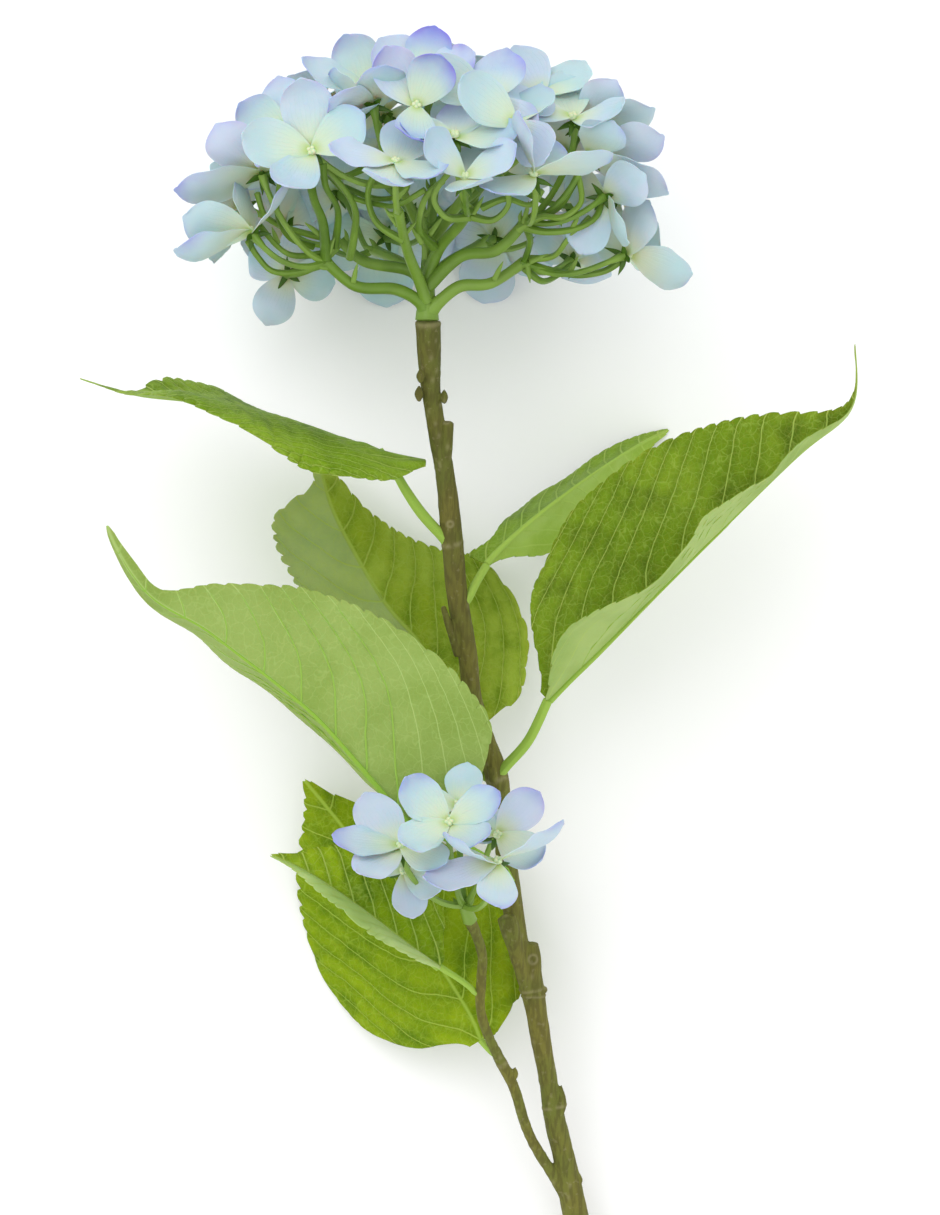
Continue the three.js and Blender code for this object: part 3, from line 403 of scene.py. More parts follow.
ROW_PIECE = "head_florets_rear"
SIDE_SLIM = 0.9
REAR_SLIM = 1.2
HEAD_FOOT: Station = (-14.3, 125.6, 75, 3.9)
HEAD_CROWN: Station = (-14.4, 140, 75.5, 3)
HEAD_BRACT: list[Station] = [(-14.5, 146, 79, 2), (-15, 154, 80.5, 1.3), (-15.5, 162, 82, 0.4)]
SIDE_KNOT: Station = (0, -74.4, 62.6, 2.4)
SIDE_CROWN: Station = (-2, -69, 68, 1.9)
STEM_CUT: tuple[Numbers, Numbers] = ((40.8, -210.6, 5.6), (0.2, -0.86, 0.46))
SCARS: list[tuple[Numbers, float, float]] = [
    ((-7.9, 92.4, 71.6), 1.25, 0.7),
    ((21, -87.5, 35.2), 1.5, 0.6),
    ((-6.6, 57.6, 64.4), 1.0, 0.25),
    ((11.4, -71.6, 42.4), 1.7, 0.5),
]
RINGS: list[Ring] = [
    Ring((21.6, -97.2, 30.6), (0.08, -1, -0.2), 0.45, 0.5),
    Ring((21.7, -99.3, 30.3), (-0.05, -1, -0.2), 0.4, 0.4),
    Ring((27.2, -136.4, 22.3), (0.2, -1, -0.2), 0.24, 0.6),
    Ring((-14, 124.6, 75), (0.05, -1, -0.2), 0.1, 1.2),
    Ring((-6, 51, 60), (0.2, -1, -0.2), 0.14, 0.8),
    Ring((9, -27, 45), (0.3, -1, -0.2), 0.14, 0.9),
    Ring((12.6, -121, 36.5), (0.5, -1, -0.5), 0.12, 0.8),
]


class Eye:
    """The eye straight above the table, which sees each height at its own scale."""

    HEIGHT = 2060.0
    REACH = 2000.0
    UP = 29.8

    @classmethod
    def place(cls, right: float, up: float, height: float) -> np.ndarray:
        """Gives the place, in the object's frame, of what is seen at right and up; all in mm."""
        scale = (cls.HEIGHT - height) / cls.REACH
        return np.array([right * scale, cls.UP + (up - cls.UP) * scale, height])

    @classmethod
    def line(cls, stations: list[Numbers]) -> np.ndarray:
        """Places a whole list of stations, and keeps any numbers that follow the first three."""
        return np.array([[*cls.place(*s[:3]), *s[3:]] for s in stations])


def unit(vector: np.ndarray) -> np.ndarray:
    """Returns the vector, or each row of an array of them, at length one."""
    size = np.linalg.norm(vector, axis=-1, keepdims=True)
    return vector / np.maximum(size, 1e-9)


def chance(index: float, channel: float) -> float:
    """Gives a repeatable number from 0 to 1 for the index-th thing and one of its qualities."""
    value = math.sin(index * 12.9898 + channel * 78.233) * 43758.5453
    return value - math.floor(value)


def between(low: float, high: float, share: float) -> float:
    """Returns the value at this share of the way from low to high."""
    return low + (high - low) * share


def ramped(value: np.ndarray | float, low: float, high: float) -> np.ndarray:
    """Rises softly from 0 at low to 1 at high."""
    share = np.clip((value - low) / (high - low), 0, 1)
    return share * share * (3 - 2 * share)


def lumpy(points: np.ndarray, scale: Numbers | float) -> np.ndarray:
    """Reads soft noise, from about -1 to 1, at each of many points."""
    return np.array([noise.noise(Vector(spot)) for spot in points * scale])


def eased(table: np.ndarray, first: np.ndarray, share: np.ndarray | float) -> np.ndarray:
    """Reads a smooth line through the rows of a table.

    Args:
        table: The rows.
        first: The row before the place.
        share: How far the place is on its way to the next row, from 0 to 1.

    Returns:
        The line's value at the place.
    """
    before, here = table[np.maximum(first - 1, 0)], table[first]
    after, beyond = table[first + 1], table[np.minimum(first + 2, len(table) - 1)]
    pull, push = (after - before) / 2, (beyond - here) / 2
    bend = 2 * here - 2 * after + pull + push
    sway = -3 * here + 3 * after - 2 * pull - push
    return ((bend * share + sway) * share + pull) * share + here


def along(values: Numbers, shares: np.ndarray) -> np.ndarray:
    """Reads values spread evenly over 0 to 1, smoothly.

    Args:
        values: The values at even steps.
        shares: Where to read them, from 0 to 1.

    Returns:
        The value at each share.
    """
    table = np.asarray(values, dtype=float)
    spot = np.asarray(shares, dtype=float) * (len(table) - 1)
    first = np.clip(np.floor(spot).astype(int), 0, len(table) - 2)
    return eased(table, first, spot - first)


def smoothed(stations: np.ndarray, steps: int) -> np.ndarray:
    """Puts more stations on a smooth line through those given.

    Args:
        stations: The stations, one a row.
        steps: How many parts each gap is divided into.

    Returns:
        All stations, one a row.
    """
    gaps = np.arange(len(stations) - 1)
    line = [eased(stations, gap, step / steps) for gap in gaps for step in range(steps)]
    return np.array([*line, stations[-1]])


def directions(points: np.ndarray) -> np.ndarray:
    """Returns the unit direction of a line at each of its points."""
    padded = np.vstack([points[:1], points, points[-1:]])
    return unit(padded[2:] - padded[:-2])


def spaced(points: np.ndarray, count: int) -> np.ndarray:
    """Puts points at even lengths along a line.

    Args:
        points: Many points of the line, one a row.
        count: Number of even parts.

    Returns:
        The ends of the parts, one a row.
    """
    steps = np.linalg.norm(np.diff(points, axis=0), axis=1)
    run = np.concatenate([[0], np.cumsum(steps)])
    even = np.linspace(0, run[-1], count + 1)
    return np.column_stack([np.interp(even, run, points[:, i]) for i in range(points.shape[1])])


def turned(direction: np.ndarray, axis: np.ndarray, degrees: float) -> np.ndarray:
    """Turns a direction about an axis.

    Args:
        direction: The direction.
        axis: The axis, at length one.
        degrees: The angle.

    Returns:
        The turned direction.
    """
    angle = math.radians(degrees)
    across = np.cross(axis, direction)
    keep = axis * float(np.dot(axis, direction)) * (1 - math.cos(angle))
    return direction * math.cos(angle) + across * math.sin(angle) + keep


def squared(aim: np.ndarray, axis: np.ndarray) -> np.ndarray:
    """Returns the unit direction square to an axis that is closest to an aim."""
    return unit(aim - axis * float(np.dot(axis, aim)))


def numbered(mesh: bpy.types.Mesh, name: str, values: np.ndarray) -> None:
    """Gives each point of a mesh a number that materials can read."""
    layer = mesh.attributes.new(name, "FLOAT", "POINT")
    layer.data.foreach_set("value", values.astype(np.float32))


def linked(name: str, data: bpy.types.ID) -> bpy.types.Object:
    """Makes an object of a mesh, a lamp or a camera and links it to the scene.

    Args:
        name: Its name.
        data: What it shows.

    Returns:
        The object.
    """
    made = bpy.data.objects.new(name, data)
    bpy.context.scene.collection.objects.link(made)
    return made


@dataclass
class MeshDraft:
    """Collects closed shells, in mm, and turns them into one Blender object.

    Attributes:
        layouts: Names of the UV maps that the shells carry.
        marks: Names of the numbers that each point carries.
        total: Number of points so far.
        BULGE: How far a bar's ends stand out, as a share of their radius.
    """

    layouts: tuple[str, ...] = ()
    marks: tuple[str, ...] = ()
    points: list[np.ndarray] = field(default_factory=list)
    faces: list[Corners] = field(default_factory=list)
    maps: dict[str, list[np.ndarray]] = field(default_factory=dict)
    values: dict[str, list[np.ndarray]] = field(default_factory=dict)
    total: int = 0
    BULGE: ClassVar[float] = 0.35

    def add(
        self,
        points: np.ndarray,
        faces: list[Corners],
        maps: dict[str, np.ndarray] | None = None,
        values: Marks | None = None,
    ) -> None:
        """Adds a shell.

        Args:
            points: Its points, one a row.
            faces: Its faces, as places in points.
            maps: UV coordinates of each point, by map name.
            values: A number for each point, or one for all, by mark name.
        """
        count = len(points)
        self.points.append(points)
        self.faces.extend(tuple(i + self.total for i in face) for face in faces)
        for name in self.layouts:
            given = (maps or {}).get(name)
            self.maps.setdefault(name, []).append(np.zeros((count, 2)) if given is None else given)
        for name in self.marks:
            given = (values or {}).get(name, 0.0)
            self.values.setdefault(name, []).append(np.broadcast_to(given, (count,)).astype(float))
        self.total += count

    def sheet(
        self,
        grid: np.ndarray,
        thick: np.ndarray,
        maps: dict[str, np.ndarray],
        front: Marks,
        back: Marks,
    ) -> np.ndarray:
        """Adds a closed blade over a grid of points.

        Args:
            grid: Middle surface, rows by columns by three.
            thick: Its thickness at each point of the grid.
            maps: UV coordinates of each point of the grid, by map name.
            front: Marks of the front face.
            back: Marks of the back face.

        Returns:
            The unit normal at each point of the grid.
        """
        rows, columns = grid.shape[:2]
        normals = unit(np.cross(np.gradient(grid, axis=1), np.gradient(grid, axis=0)))
        shift = normals * thick[..., None] / 2
        upper = (grid + shift).reshape(-1, 3)
        lower = (grid - shift).reshape(-1, 3)
        count = rows * columns
        faces: list[Corners] = []
        for row in range(rows - 1):
            for column in range(columns - 1):
                a = row * columns + column
                quad = (a, a + 1, a + columns + 1, a + columns)
                faces += [quad, tuple(i + count for i in reversed(quad))]
        rim = [*range(columns - 1), *range(columns - 1, count - 1, columns)]
        rim += [*range(count - 1, count - columns, -1), *range(count - columns, 0, -columns)]
        for corner, after in zip(rim, rim[1:] + rim[:1]):
            faces.append((corner, corner + count, after + count, after))
        flat = {name: np.tile(uv.reshape(-1, 2), (2, 1)) for name, uv in maps.items()}
        numbers = {}
        for name in self.marks:
            sides = [front.get(name, 0.0), back.get(name, 0.0)]
            spread = [np.broadcast_to(side, (rows, columns)).reshape(-1) for side in sides]
            numbers[name] = np.concatenate(spread)
        self.add(np.vstack([upper, lower]), faces, flat, numbers)
        return normals

    def tube(
        self,
        stations: np.ndarray,
        sides: int,
        ribs: int = 0,
        rib_depth: float = 0.0,
        values: Marks | None = None,
        flatten: float = 1.0,
        cut: tuple[np.ndarray, np.ndarray] | None = None,
    ) -> None:
        """Adds a bar of changing thickness with closed, slightly rounded ends.

        Args:
            stations: Rows of x, y, z and radius.
            sides: Corners round the bar.
            ribs: Ribs that run along it.
            rib_depth: Their height as a share of the radius.
            values: Marks of the whole bar.
            flatten: Thickness of the bar as a share of its width.
            cut: A place and a direction of the plane that cuts off its far end.
        """
        centres = stations[:, :3]
        tangents = directions(centres)
        across = UPRIGHT if abs(tangents[0][2]) < 0.9 else np.array([1.0, 0, 0])
        angles = np.arange(sides) / sides * 2 * math.pi
        swell = 1 + rib_depth * np.cos(angles * ribs)
        rings = []
        for centre, tangent, radius in zip(centres, tangents, stations[:, 3]):
            across = squared(across, tangent)
            other = np.cross(tangent, across)
            round_it = np.outer(np.cos(angles) * swell * flatten, across)
            round_it += np.outer(np.sin(angles) * swell, other)
            rings.append(centre + round_it * radius)
        first = centres[0] - tangents[0] * stations[0, 3] * self.BULGE
        last = centres[-1] + tangents[-1] * stations[-1, 3] * self.BULGE
        if cut is not None:
            ends = np.vstack([rings[-1], last])
            slide = (cut[0] - ends) @ cut[1] / float(tangents[-1] @ cut[1])
            ends = ends + tangents[-1] * slide[:, None]
            rings[-1], last = ends[:-1], ends[-1]
        points = np.vstack([*rings, first, last])
        faces: list[Corners] = []
        foot, end = len(rings) * sides, (len(rings) - 1) * sides
        around = [(side, (side + 1) % sides) for side in range(sides)]
        for ring in range(0, end, sides):
            for a, b in around:
                faces.append((ring + a, ring + b, ring + b + sides, ring + a + sides))
        for a, b in around:
            faces += [(foot, b, a), (foot + 1, end + a, end + b)]
        self.add(points, faces, None, values)

    def ball(
        self,
        centre: np.ndarray,
        axis: np.ndarray,
        size: Numbers,
        values: Marks | None = None,
        sides: int = 10,
    ) -> None:
        """Adds an egg shape.

        Args:
            centre: Its middle.
            axis: Its long axis.
            size: Its radius round the axis and along it.
            values: Its marks.
            sides: Corners round it.
        """
        turns = np.linspace(0.06, 0.94, 7) * math.pi
        rows = [[*(centre - axis * size[1] * math.cos(t)), size[0] * math.sin(t)] for t in turns]
        self.tube(np.array(rows), sides, values=values)

    def finish(self, name: str, sharp: float = 50.0) -> bpy.types.Object:
        """Makes the object.

        Args:
            name: Its name.
            sharp: Edges sharper than this angle, in degrees, stay crisp.

        Returns:
            The object, linked to the scene.
        """
        mesh = bpy.data.meshes.new(name)
        mesh.from_pydata((np.vstack(self.points) * MM).tolist(), [], self.faces)
        mesh.update()
        corners = np.empty(len(mesh.loops), dtype=np.int32)
        mesh.loops.foreach_get("vertex_index", corners)
        for layout in self.layouts:
            uv = np.vstack(self.maps[layout])[corners]
            mesh.uv_layers.new(name=layout).data.foreach_set("uv", uv.astype(np.float32).ravel())
        for mark in self.marks:
            numbered(mesh, mark, np.concatenate(self.values[mark]))
        mesh.polygons.foreach_set("use_smooth", [True] * len(mesh.polygons))
        mesh.set_sharp_from_angle(angle=math.radians(sharp))
        return linked(name, mesh)


def hand_over(piece: bpy.types.Object, node: str, finish: bpy.types.Material) -> None:
    """Puts the material on a piece and lets it stand for its solid.

    Args:
        piece: The dressed piece.
        node: The solid that it replaces.
        finish: Its material.
    """
    piece.data.materials.clear()
    piece.data.materials.append(finish)
    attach(piece, BODY)
    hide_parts(node)
    logger.info("%s stands for %s, %d faces", piece.name, node, len(piece.data.polygons))


def paint(code: str) -> Numbers:
    """Turns a colour such as "#6e9632" into linear red, green and blue, and an alpha of 1."""
    values = [int(code[i : i + 2], 16) / 255 for i in (1, 3, 5)]
    return (*(v / 12.92 if v <= 0.04045 else ((v + 0.055) / 1.055) ** 2.4 for v in values), 1.0)


@dataclass(frozen=True)
class Wire:
    """What a socket gives, on which sums can be written as on a plain number."""

    bench: NodeBench
    socket: bpy.types.NodeSocket

    def __add__(self, other: Link) -> Wire:
        """Adds a value."""
        return self.bench.maths("ADD", self, other)

    def __sub__(self, other: Link) -> Wire:
        """Takes a value away."""
        return self.bench.maths("SUBTRACT", self, other)

    def __mul__(self, other: Link) -> Wire:
        """Multiplies by a value."""
        return self.bench.maths("MULTIPLY", self, other)

    def scaled(self, factor: Link, start: Link) -> Wire:
        """Multiplies by a factor and adds a start."""
        return self.bench.maths("MULTIPLY_ADD", self, factor, start)


Link = Wire | float | Numbers | str


class NodeBench:
    """Adds and wires nodes in a tree."""

    def __init__(self, tree: bpy.types.NodeTree) -> None:
        """Takes the tree to work in."""
        self.tree = tree

    def add(self, kind: str, **settings: object) -> bpy.types.Node:
        """Adds a node.

        Args:
            kind: Its kind.
            **settings: Its settings, by name.

        Returns:
            The node.
        """
        node = self.tree.nodes.new(kind)
        for name, value in settings.items():
            setattr(node, name, value)
        return node

    def feed(self, socket: bpy.types.NodeSocket, value: Link) -> None:
        """Feeds a socket.

        Args:
            socket: The socket.
            value: A wire, or the plain value or colour that it is set to.
        """
        if isinstance(value, Wire):
            self.tree.links.new(value.socket, socket)
        else:
            socket.default_value = paint(value) if isinstance(value, str) else value

    def results(self, node: bpy.types.Node) -> dict[str, Wire]:
        """Reads all that a node gives, by name."""
        return {socket.name: Wire(self, socket) for socket in node.outputs if socket.name}

    def read(
        self, kind: str, output: str | int, inputs: dict[str | int, Link], **settings: object
    ) -> Wire:
        """Adds a node and reads one of its outputs.

        Args:
            kind: Kind of the node.
            output: Name or place of the output.
            inputs: What each input gets, by name or place.
            **settings: Settings of the node.

        Returns:
            The output.
        """
        node = self.add(kind, **settings)
        for name, value in inputs.items():
            self.feed(node.inputs[name], value)
        return Wire(self, node.outputs[output])

    def maths(self, operation: str, *values: Link) -> Wire:
        """Returns the result of a sum on up to three values."""
        return self.read("ShaderNodeMath", 0, dict(enumerate(values)), operation=operation)

    def soft_step(self, value: Link, low: Link, high: Link) -> Wire:
        """Rises softly from 0 to 1 as the value goes from low to high."""
        inputs = {"Value": value, "From Min": low, "From Max": high}
        return self.read("ShaderNodeMapRange", "Result", inputs, interpolation_type="SMOOTHSTEP")

    def blend(self, share: Link, first: Link, second: Link) -> Wire:
        """Mixes two colours."""
        return self.read("ShaderNodeMix", 2, {0: share, 6: first, 7: second}, data_type="RGBA")

    def coated(self, colour: Link, *coats: tuple[Link, Link]) -> Wire:
        """Lays coats over a colour.

        Args:
            colour: The colour.
            *coats: The share of each coat that shows, and its colour.

        Returns:
            The colour that is then seen.
        """
        for share, coat in coats:
            colour = self.blend(share, colour, coat)
        return colour

    def number(self, name: str) -> Wire:
        """Reads a number that the points of the mesh carry."""
        return self.read("ShaderNodeAttribute", "Fac", {}, attribute_name=name)

    def layout(self, name: str) -> Wire:
        """Reads a UV map."""
        return self.read("ShaderNodeUVMap", "UV", {}, uv_map=name)

    def where(self) -> Wire:
        """Reads the place on the object, in metres."""
        return self.read("ShaderNodeTexCoord", "Object", {})

    def stretched(self, vector: Link, scale: Numbers) -> Wire:
        """Scales a vector along each axis."""
        return self.read("ShaderNodeMapping", "Vector", {"Vector": vector, "Scale": scale})

    def split(self, vector: Link) -> tuple[Wire, Wire]:
        """Reads the first two numbers of a vector."""
        first = self.read("ShaderNodeSeparateXYZ", 0, {0: vector})
        return first, Wire(self, first.socket.node.outputs[1])

    def grain(self, vector: Link, scale: Link, detail: float = 3.0, output: int = 0) -> Wire:
        """Reads soft noise from 0 to 1, or its colour, which is output 1."""
        inputs = {"Vector": vector, "Scale": scale, "Detail": detail}
        return self.read("ShaderNodeTexNoise", output, inputs)

    def cells(self, vector: Link, size: Link) -> Wire:
        """Reads the distance to the edge of cells that are size mm wide on a leaf's map."""
        inputs = {"Vector": vector, "Scale": self.maths("DIVIDE", LEAF_MAP_MM, size)}
        return self.read("ShaderNodeTexVoronoi", "Distance", inputs, feature="DISTANCE_TO_EDGE")


Recipe = Callable[[NodeBench, dict[str, Wire]], dict[str, Wire]]


def effect(name: str, inputs: dict[str, float | None], recipe: Recipe) -> bpy.types.NodeTree:
    """Makes a node group.

    Args:
        name: Its name.
        inputs: The value of each input, or None where it takes a vector.
        recipe: What turns the inputs into the outputs, by name.

    Returns:
        The group.
    """
    group = bpy.data.node_groups.new(name, "ShaderNodeTree")
    for label, value in inputs.items():
        kind = "NodeSocketVector" if value is None else "NodeSocketFloat"
        socket = group.interface.new_socket(label, in_out="INPUT", socket_type=kind)
        if value is not None:
            socket.default_value = value
    bench = NodeBench(group)
    made = recipe(bench, bench.results(bench.add("NodeGroupInput")))
    for label in made:
        group.interface.new_socket(label, in_out="OUTPUT", socket_type="NodeSocketFloat")
    end = bench.add("NodeGroupOutput")
    for label, value in made.items():
        bench.feed(end.inputs[label], value)
    return group


def soft_mottle(bench: NodeBench, given: dict[str, Wire]) -> dict[str, Wire]:
    """Soft patches of light and dark."""
    value = bench.grain(given["Vector"], given["Scale"])
    return {"Patch": bench.soft_step(value, given["Low"], given["High"])}


def fine_grain(bench: NodeBench, given: dict[str, Wire]) -> dict[str, Wire]:
    """A fine height for the skin of petals, leaves, stalks and bark."""
    coarse = bench.grain(given["Vector"], given["Coarse"], 2.0)
    return {"Height": coarse + bench.grain(given["Vector"], given["Fine"], 2.0) * given["Share"]}


def leaf_veins(bench: NodeBench, given: dict[str, Wire]) -> dict[str, Wire]:
    """The veins of a leaf, from a count that is whole on each side vein.

    Args:
        bench: The bench of the group.
        given: Maps, spacing, width and sizes of the nets.

    Returns:
        Masks of the side veins, of the branches and net between them, and of the swelling.
    """
    blade, width = given["Blade Map"], given["Width"]
    count, off_midrib = bench.split(given["Vein Map"])
    shaken = count + bench.grain(blade, 9.0, 2.0).scaled(0.16, -0.08)
    gap = bench.maths("PINGPONG", shaken, 0.5)
    wide, fine = width * 1.6, width * 0.3
    side = bench.soft_step(gap * given["Spacing"], wide, fine)
    middle = bench.soft_step(off_midrib * LEAF_MAP_MM, wide * 1.4, fine)
    drift = bench.grain(blade, 20.0, 2.0, output=1)
    inputs = {0: drift, 1: (0.05, 0.05, 0.05), 2: blade}
    bent = bench.read("ShaderNodeVectorMath", "Vector", inputs, operation="MULTIPLY_ADD")
    web, net = bench.cells(bent, given["Web Size"]), bench.cells(blade, given["Net Size"])
    return {
        "Vein": bench.maths("MAXIMUM", side, middle),
        "Branch": bench.soft_step(web, 0.055, 0.005),
        "Net": bench.soft_step(net, 0.14, 0.02),
        "Swell": bench.soft_step(gap, 0.0, 0.4),
    }


class SharedEffects:
    """Node groups that several finishes use, each built once."""

    def __init__(self) -> None:
        """Builds the groups."""
        inputs = {"Vector": None, "Scale": 60.0, "Low": 0.35, "High": 0.65}
        self.mottle = effect("soft_mottle", inputs, soft_mottle)
        inputs = {"Vector": None, "Coarse": 400.0, "Fine": 1600.0, "Share": 0.5}
        self.fine_grain = effect("fine_grain", inputs, fine_grain)
        inputs = {"Blade Map": None, "Vein Map": None, "Spacing": 14.0, "Width": 0.4}
        inputs |= {"Web Size": 4.2, "Net Size": 1.7}
        self.leaf_veins = effect("leaf_veins", inputs, leaf_veins)

    @staticmethod
    def _placed(
        bench: NodeBench, group: bpy.types.NodeTree, inputs: dict[str, Link]
    ) -> dict[str, Wire]:
        """Places a group in a material.

        Args:
            bench: The material's bench.
            group: The group.
            inputs: What its inputs get.

        Returns:
            Its outputs, by name.
        """
        node = bench.add("ShaderNodeGroup", node_tree=group)
        for name, value in inputs.items():
            bench.feed(node.inputs[name], value)
        return bench.results(node)

    def patch(self, where: Wire, scale: float, low: float, high: float) -> Wire:
        """Gives soft patches of this scale, between these levels of the noise."""
        inputs = {"Vector": where, "Scale": scale, "Low": low, "High": high}
        return self._placed(where.bench, self.mottle, inputs)["Patch"]

    def skin(self, where: Wire, coarse: float, fine: float, share: float = 0.5) -> Wire:
        """Gives the height of a fine skin, from a coarse grain and a share of a fine one."""
        inputs = {"Vector": where, "Coarse": coarse, "Fine": fine, "Share": share}
        return self._placed(where.bench, self.fine_grain, inputs)["Height"]

    def veins(self, bench: NodeBench, spacing: float) -> dict[str, Wire]:
        """Gives the veins of a leaf whose side veins are so many mm apart."""
        inputs = {"Blade Map": bench.layout("blade_map"), "Vein Map": bench.layout("vein_map")}
        return self._placed(bench, self.leaf_veins, inputs | {"Spacing": spacing})


@dataclass(frozen=True)
class Coating:
    """A material in the making.

    The roughness counts where nothing feeds it, the specular is the strength of the gloss, and
    plain holds further inputs of the shader that stay the same all over.
    """

    name: str
    roughness: float
    specular: float
    plain: dict[str, float] = field(default_factory=dict)

    def started(self) -> tuple[bpy.types.Material, NodeBench, bpy.types.Node]:
        """Makes the material.

        Returns:
            The material, its bench and its shader node.
        """
        made = bpy.data.materials.new(self.name)
        made.use_nodes = True
        shader = made.node_tree.nodes["Principled BSDF"]
        levels = {"Roughness": self.roughness, "Specular IOR Level": self.specular}
        for socket, value in (levels | self.plain).items():
            shader.inputs[socket].default_value = value
        return made, NodeBench(made.node_tree), shader


def surfaced(
    bench: NodeBench, shader: bpy.types.Node, colour: Wire, height: Wire, depth: Numbers
) -> None:
    """Gives a shader its colour and its relief.

    Args:
        bench: The material's bench.
        shader: Its shader node.
        colour: The colour.
        height: The height of the relief.
        depth: How deep the relief is in metres, and how strongly it shows.
    """
    bench.feed(shader.inputs["Base Color"], colour)
    bump = {"Height": height, "Distance": depth[0], "Strength": depth[1]}
    bench.feed(shader.inputs["Normal"], bench.read("ShaderNodeBump", "Normal", bump))


@dataclass(frozen=True)
class PetalFinish:
    """Pale petals: green at the root, blue-white in the middle, violet at the rim, with painted
    blue-green shade on petals deep in the head.
    """

    root: str = "#aec664"
    throat: str = "#c9d8ba"
    middle: str = "#b6d0d5"
    pale: str = "#c2cee2"
    rim: str = "#7478d8"
    # painted shade: the blue-green that darkens petals deep in the head; it also tints the fanned
    # veins
    shade_and_vein_teal: str = "#9cc6ca"
    button: str = "#d6dfb6"
    vein_count: float = 11.0

    def material(self, effects: SharedEffects) -> bpy.types.Material:
        """Builds the material.

        Args:
            effects: The shared node groups.

        Returns:
            The material.
        """
        inside = {"Subsurface Weight": 0.25, "Subsurface Scale": 0.002}
        made, bench, shader = Coating("petal_cloth", 0.55, 0.12, inside).started()
        layout, where = bench.layout("petal_map"), bench.where()
        across, up = bench.split(layout)
        blush, tone = bench.number("blush"), bench.number("tone")
        body = bench.blend(bench.soft_step(tone, 0.2, 0.8), self.middle, self.pale)
        # painted shade: blue-green laid in soft patches, as much as each petal's shade mark asks
        teal_shade_share = effects.patch(where, 90.0, 0.3, 0.7).scaled(0.5, 0.25) * bench.number("shade")
        body = bench.blend(teal_shade_share, body, self.shade_and_vein_teal)
        edge = bench.maths("ABSOLUTE", across - 0.5) * 2.0
        reach = up + bench.maths("POWER", edge, 3.0) * 0.2
        throat = bench.soft_step(reach, 0.1, tone.scaled(-0.35, 0.86))
        colour = bench.blend(throat, self.throat, body)
        colour = bench.blend(bench.soft_step(reach, 0.0, 0.24), self.root, colour)
        stain = bench.soft_step(reach, blush.scaled(-0.62, 1.06), 1.18) * (blush * 0.9)
        stain = stain * effects.patch(where, 60.0, 0.35, 0.6).scaled(0.75, 0.3)
        turns = across * (self.vein_count * 2 * math.pi) + bench.grain(layout, 5.0, 2.0) * 5.0
        vein = bench.soft_step(bench.maths("SINE", turns), 0.7, 1.0)
        vein = vein * bench.soft_step(up, 1.0, 0.35)
        coats = (stain, self.rim), (vein * 0.1, self.shade_and_vein_teal), (bench.number("button"), self.button)
        height = effects.skin(where, 700.0, 2600.0) * 0.4 - vein * 0.4
        surfaced(bench, shader, bench.coated(colour, *coats), height, (0.0003, 0.5))
        return made


@dataclass(frozen=True)
class LeafFinish:
    """A veined leaf: upper face with light patches and painted crease shade, clouded underside,
    ribs.
    """

    name: str
    upper: str = "#6c8c10"
    patch: str = "#7c9c22"
    # painted shade: the darker green laid in the creases beside the side veins and in soft patches
    depth: str = "#4e7008"
    under: str = "#9bb466"
    cloud: str = "#8ca855"
    vein: str = "#a8c05a"
    rib: str = "#94b54c"
    roughness: float = 0.5

    def material(self, spacing: float, effects: SharedEffects) -> bpy.types.Material:
        """Builds the material.

        Args:
            spacing: Distance between side veins, in mm.
            effects: The shared node groups.

        Returns:
            The material.
        """
        inside = {"Subsurface Weight": 0.08, "Subsurface Scale": 0.002}
        made, bench, shader = Coating(self.name, self.roughness, 0.09, inside).started()
        upper, rib, where = bench.number("upper"), bench.number("rib"), bench.where()
        veins = effects.veins(bench, spacing)
        patch = effects.patch(where, 32.0, 0.38, 0.62)
        # painted shade: darker where the blade dips beside the side veins and in soft broad
        # patches, with fine dark specks on top
        crease_shade_and_speck = bench.maths("SUBTRACT", 1.0, veins["Swell"]) * 0.4
        crease_shade_and_speck = effects.patch(where, 70.0, 0.45, 0.7).scaled(0.6, crease_shade_and_speck)
        crease_shade_and_speck = effects.patch(where, 300.0, 0.3, 0.7).scaled(0.22, crease_shade_and_speck)
        top = bench.blend(crease_shade_and_speck, bench.blend(patch, self.upper, self.patch), self.depth)
        colour = bench.blend(upper, bench.blend(patch, self.under, self.cloud), top)
        for line, gain, least in (("Net", 0.06, 0.06), ("Branch", 0.08, 0.18), ("Vein", 0.25, 0.6)):
            colour = bench.blend(veins[line] * upper.scaled(gain, least), colour, self.vein)
        bench.feed(shader.inputs["Roughness"], upper.scaled(-0.1, self.roughness + 0.1))
        ridge = bench.maths("MAXIMUM", veins["Net"] * 0.35, veins["Branch"] * 0.35)
        ridge = bench.maths("MAXIMUM", veins["Vein"], ridge) * upper.scaled(-0.75, 0.12)
        height = (ridge + effects.skin(where, 500.0, 1900.0) * 0.25) * rib.scaled(-0.85, 1.0)
        surfaced(bench, shader, bench.blend(rib, colour, self.rib), height, (0.0005, 0.8))
        return made


@dataclass(frozen=True)
class StalkFinish:
    """The smooth green skin of flower stalks."""

    fresh: str = "#507614"
    deep: str = "#325608"
    light: str = "#8fae4c"

    def material(self, effects: SharedEffects) -> bpy.types.Material:
        """Builds the material.

        Args:
            effects: The shared node groups.

        Returns:
            The material.
        """
        coating = Coating("green_stalk_skin", 0.36, 0.3, {"Coat Weight": 0.03})
        made, bench, shader = coating.started()
        where = bench.where()
        colour = bench.coated(
            self.fresh,
            (effects.patch(where, 110.0, 0.35, 0.7) * 0.7, self.deep),
            (effects.patch(where, 60.0, 0.5, 0.8) * 0.6, self.light),
            (bench.number("young") * 0.8, self.light),
            (bench.number("calyx") * 0.8, self.deep),
        )
        surfaced(bench, shader, colour, effects.skin(where, 600.0, 2200.0), (0.0002, 0.6))
        return made


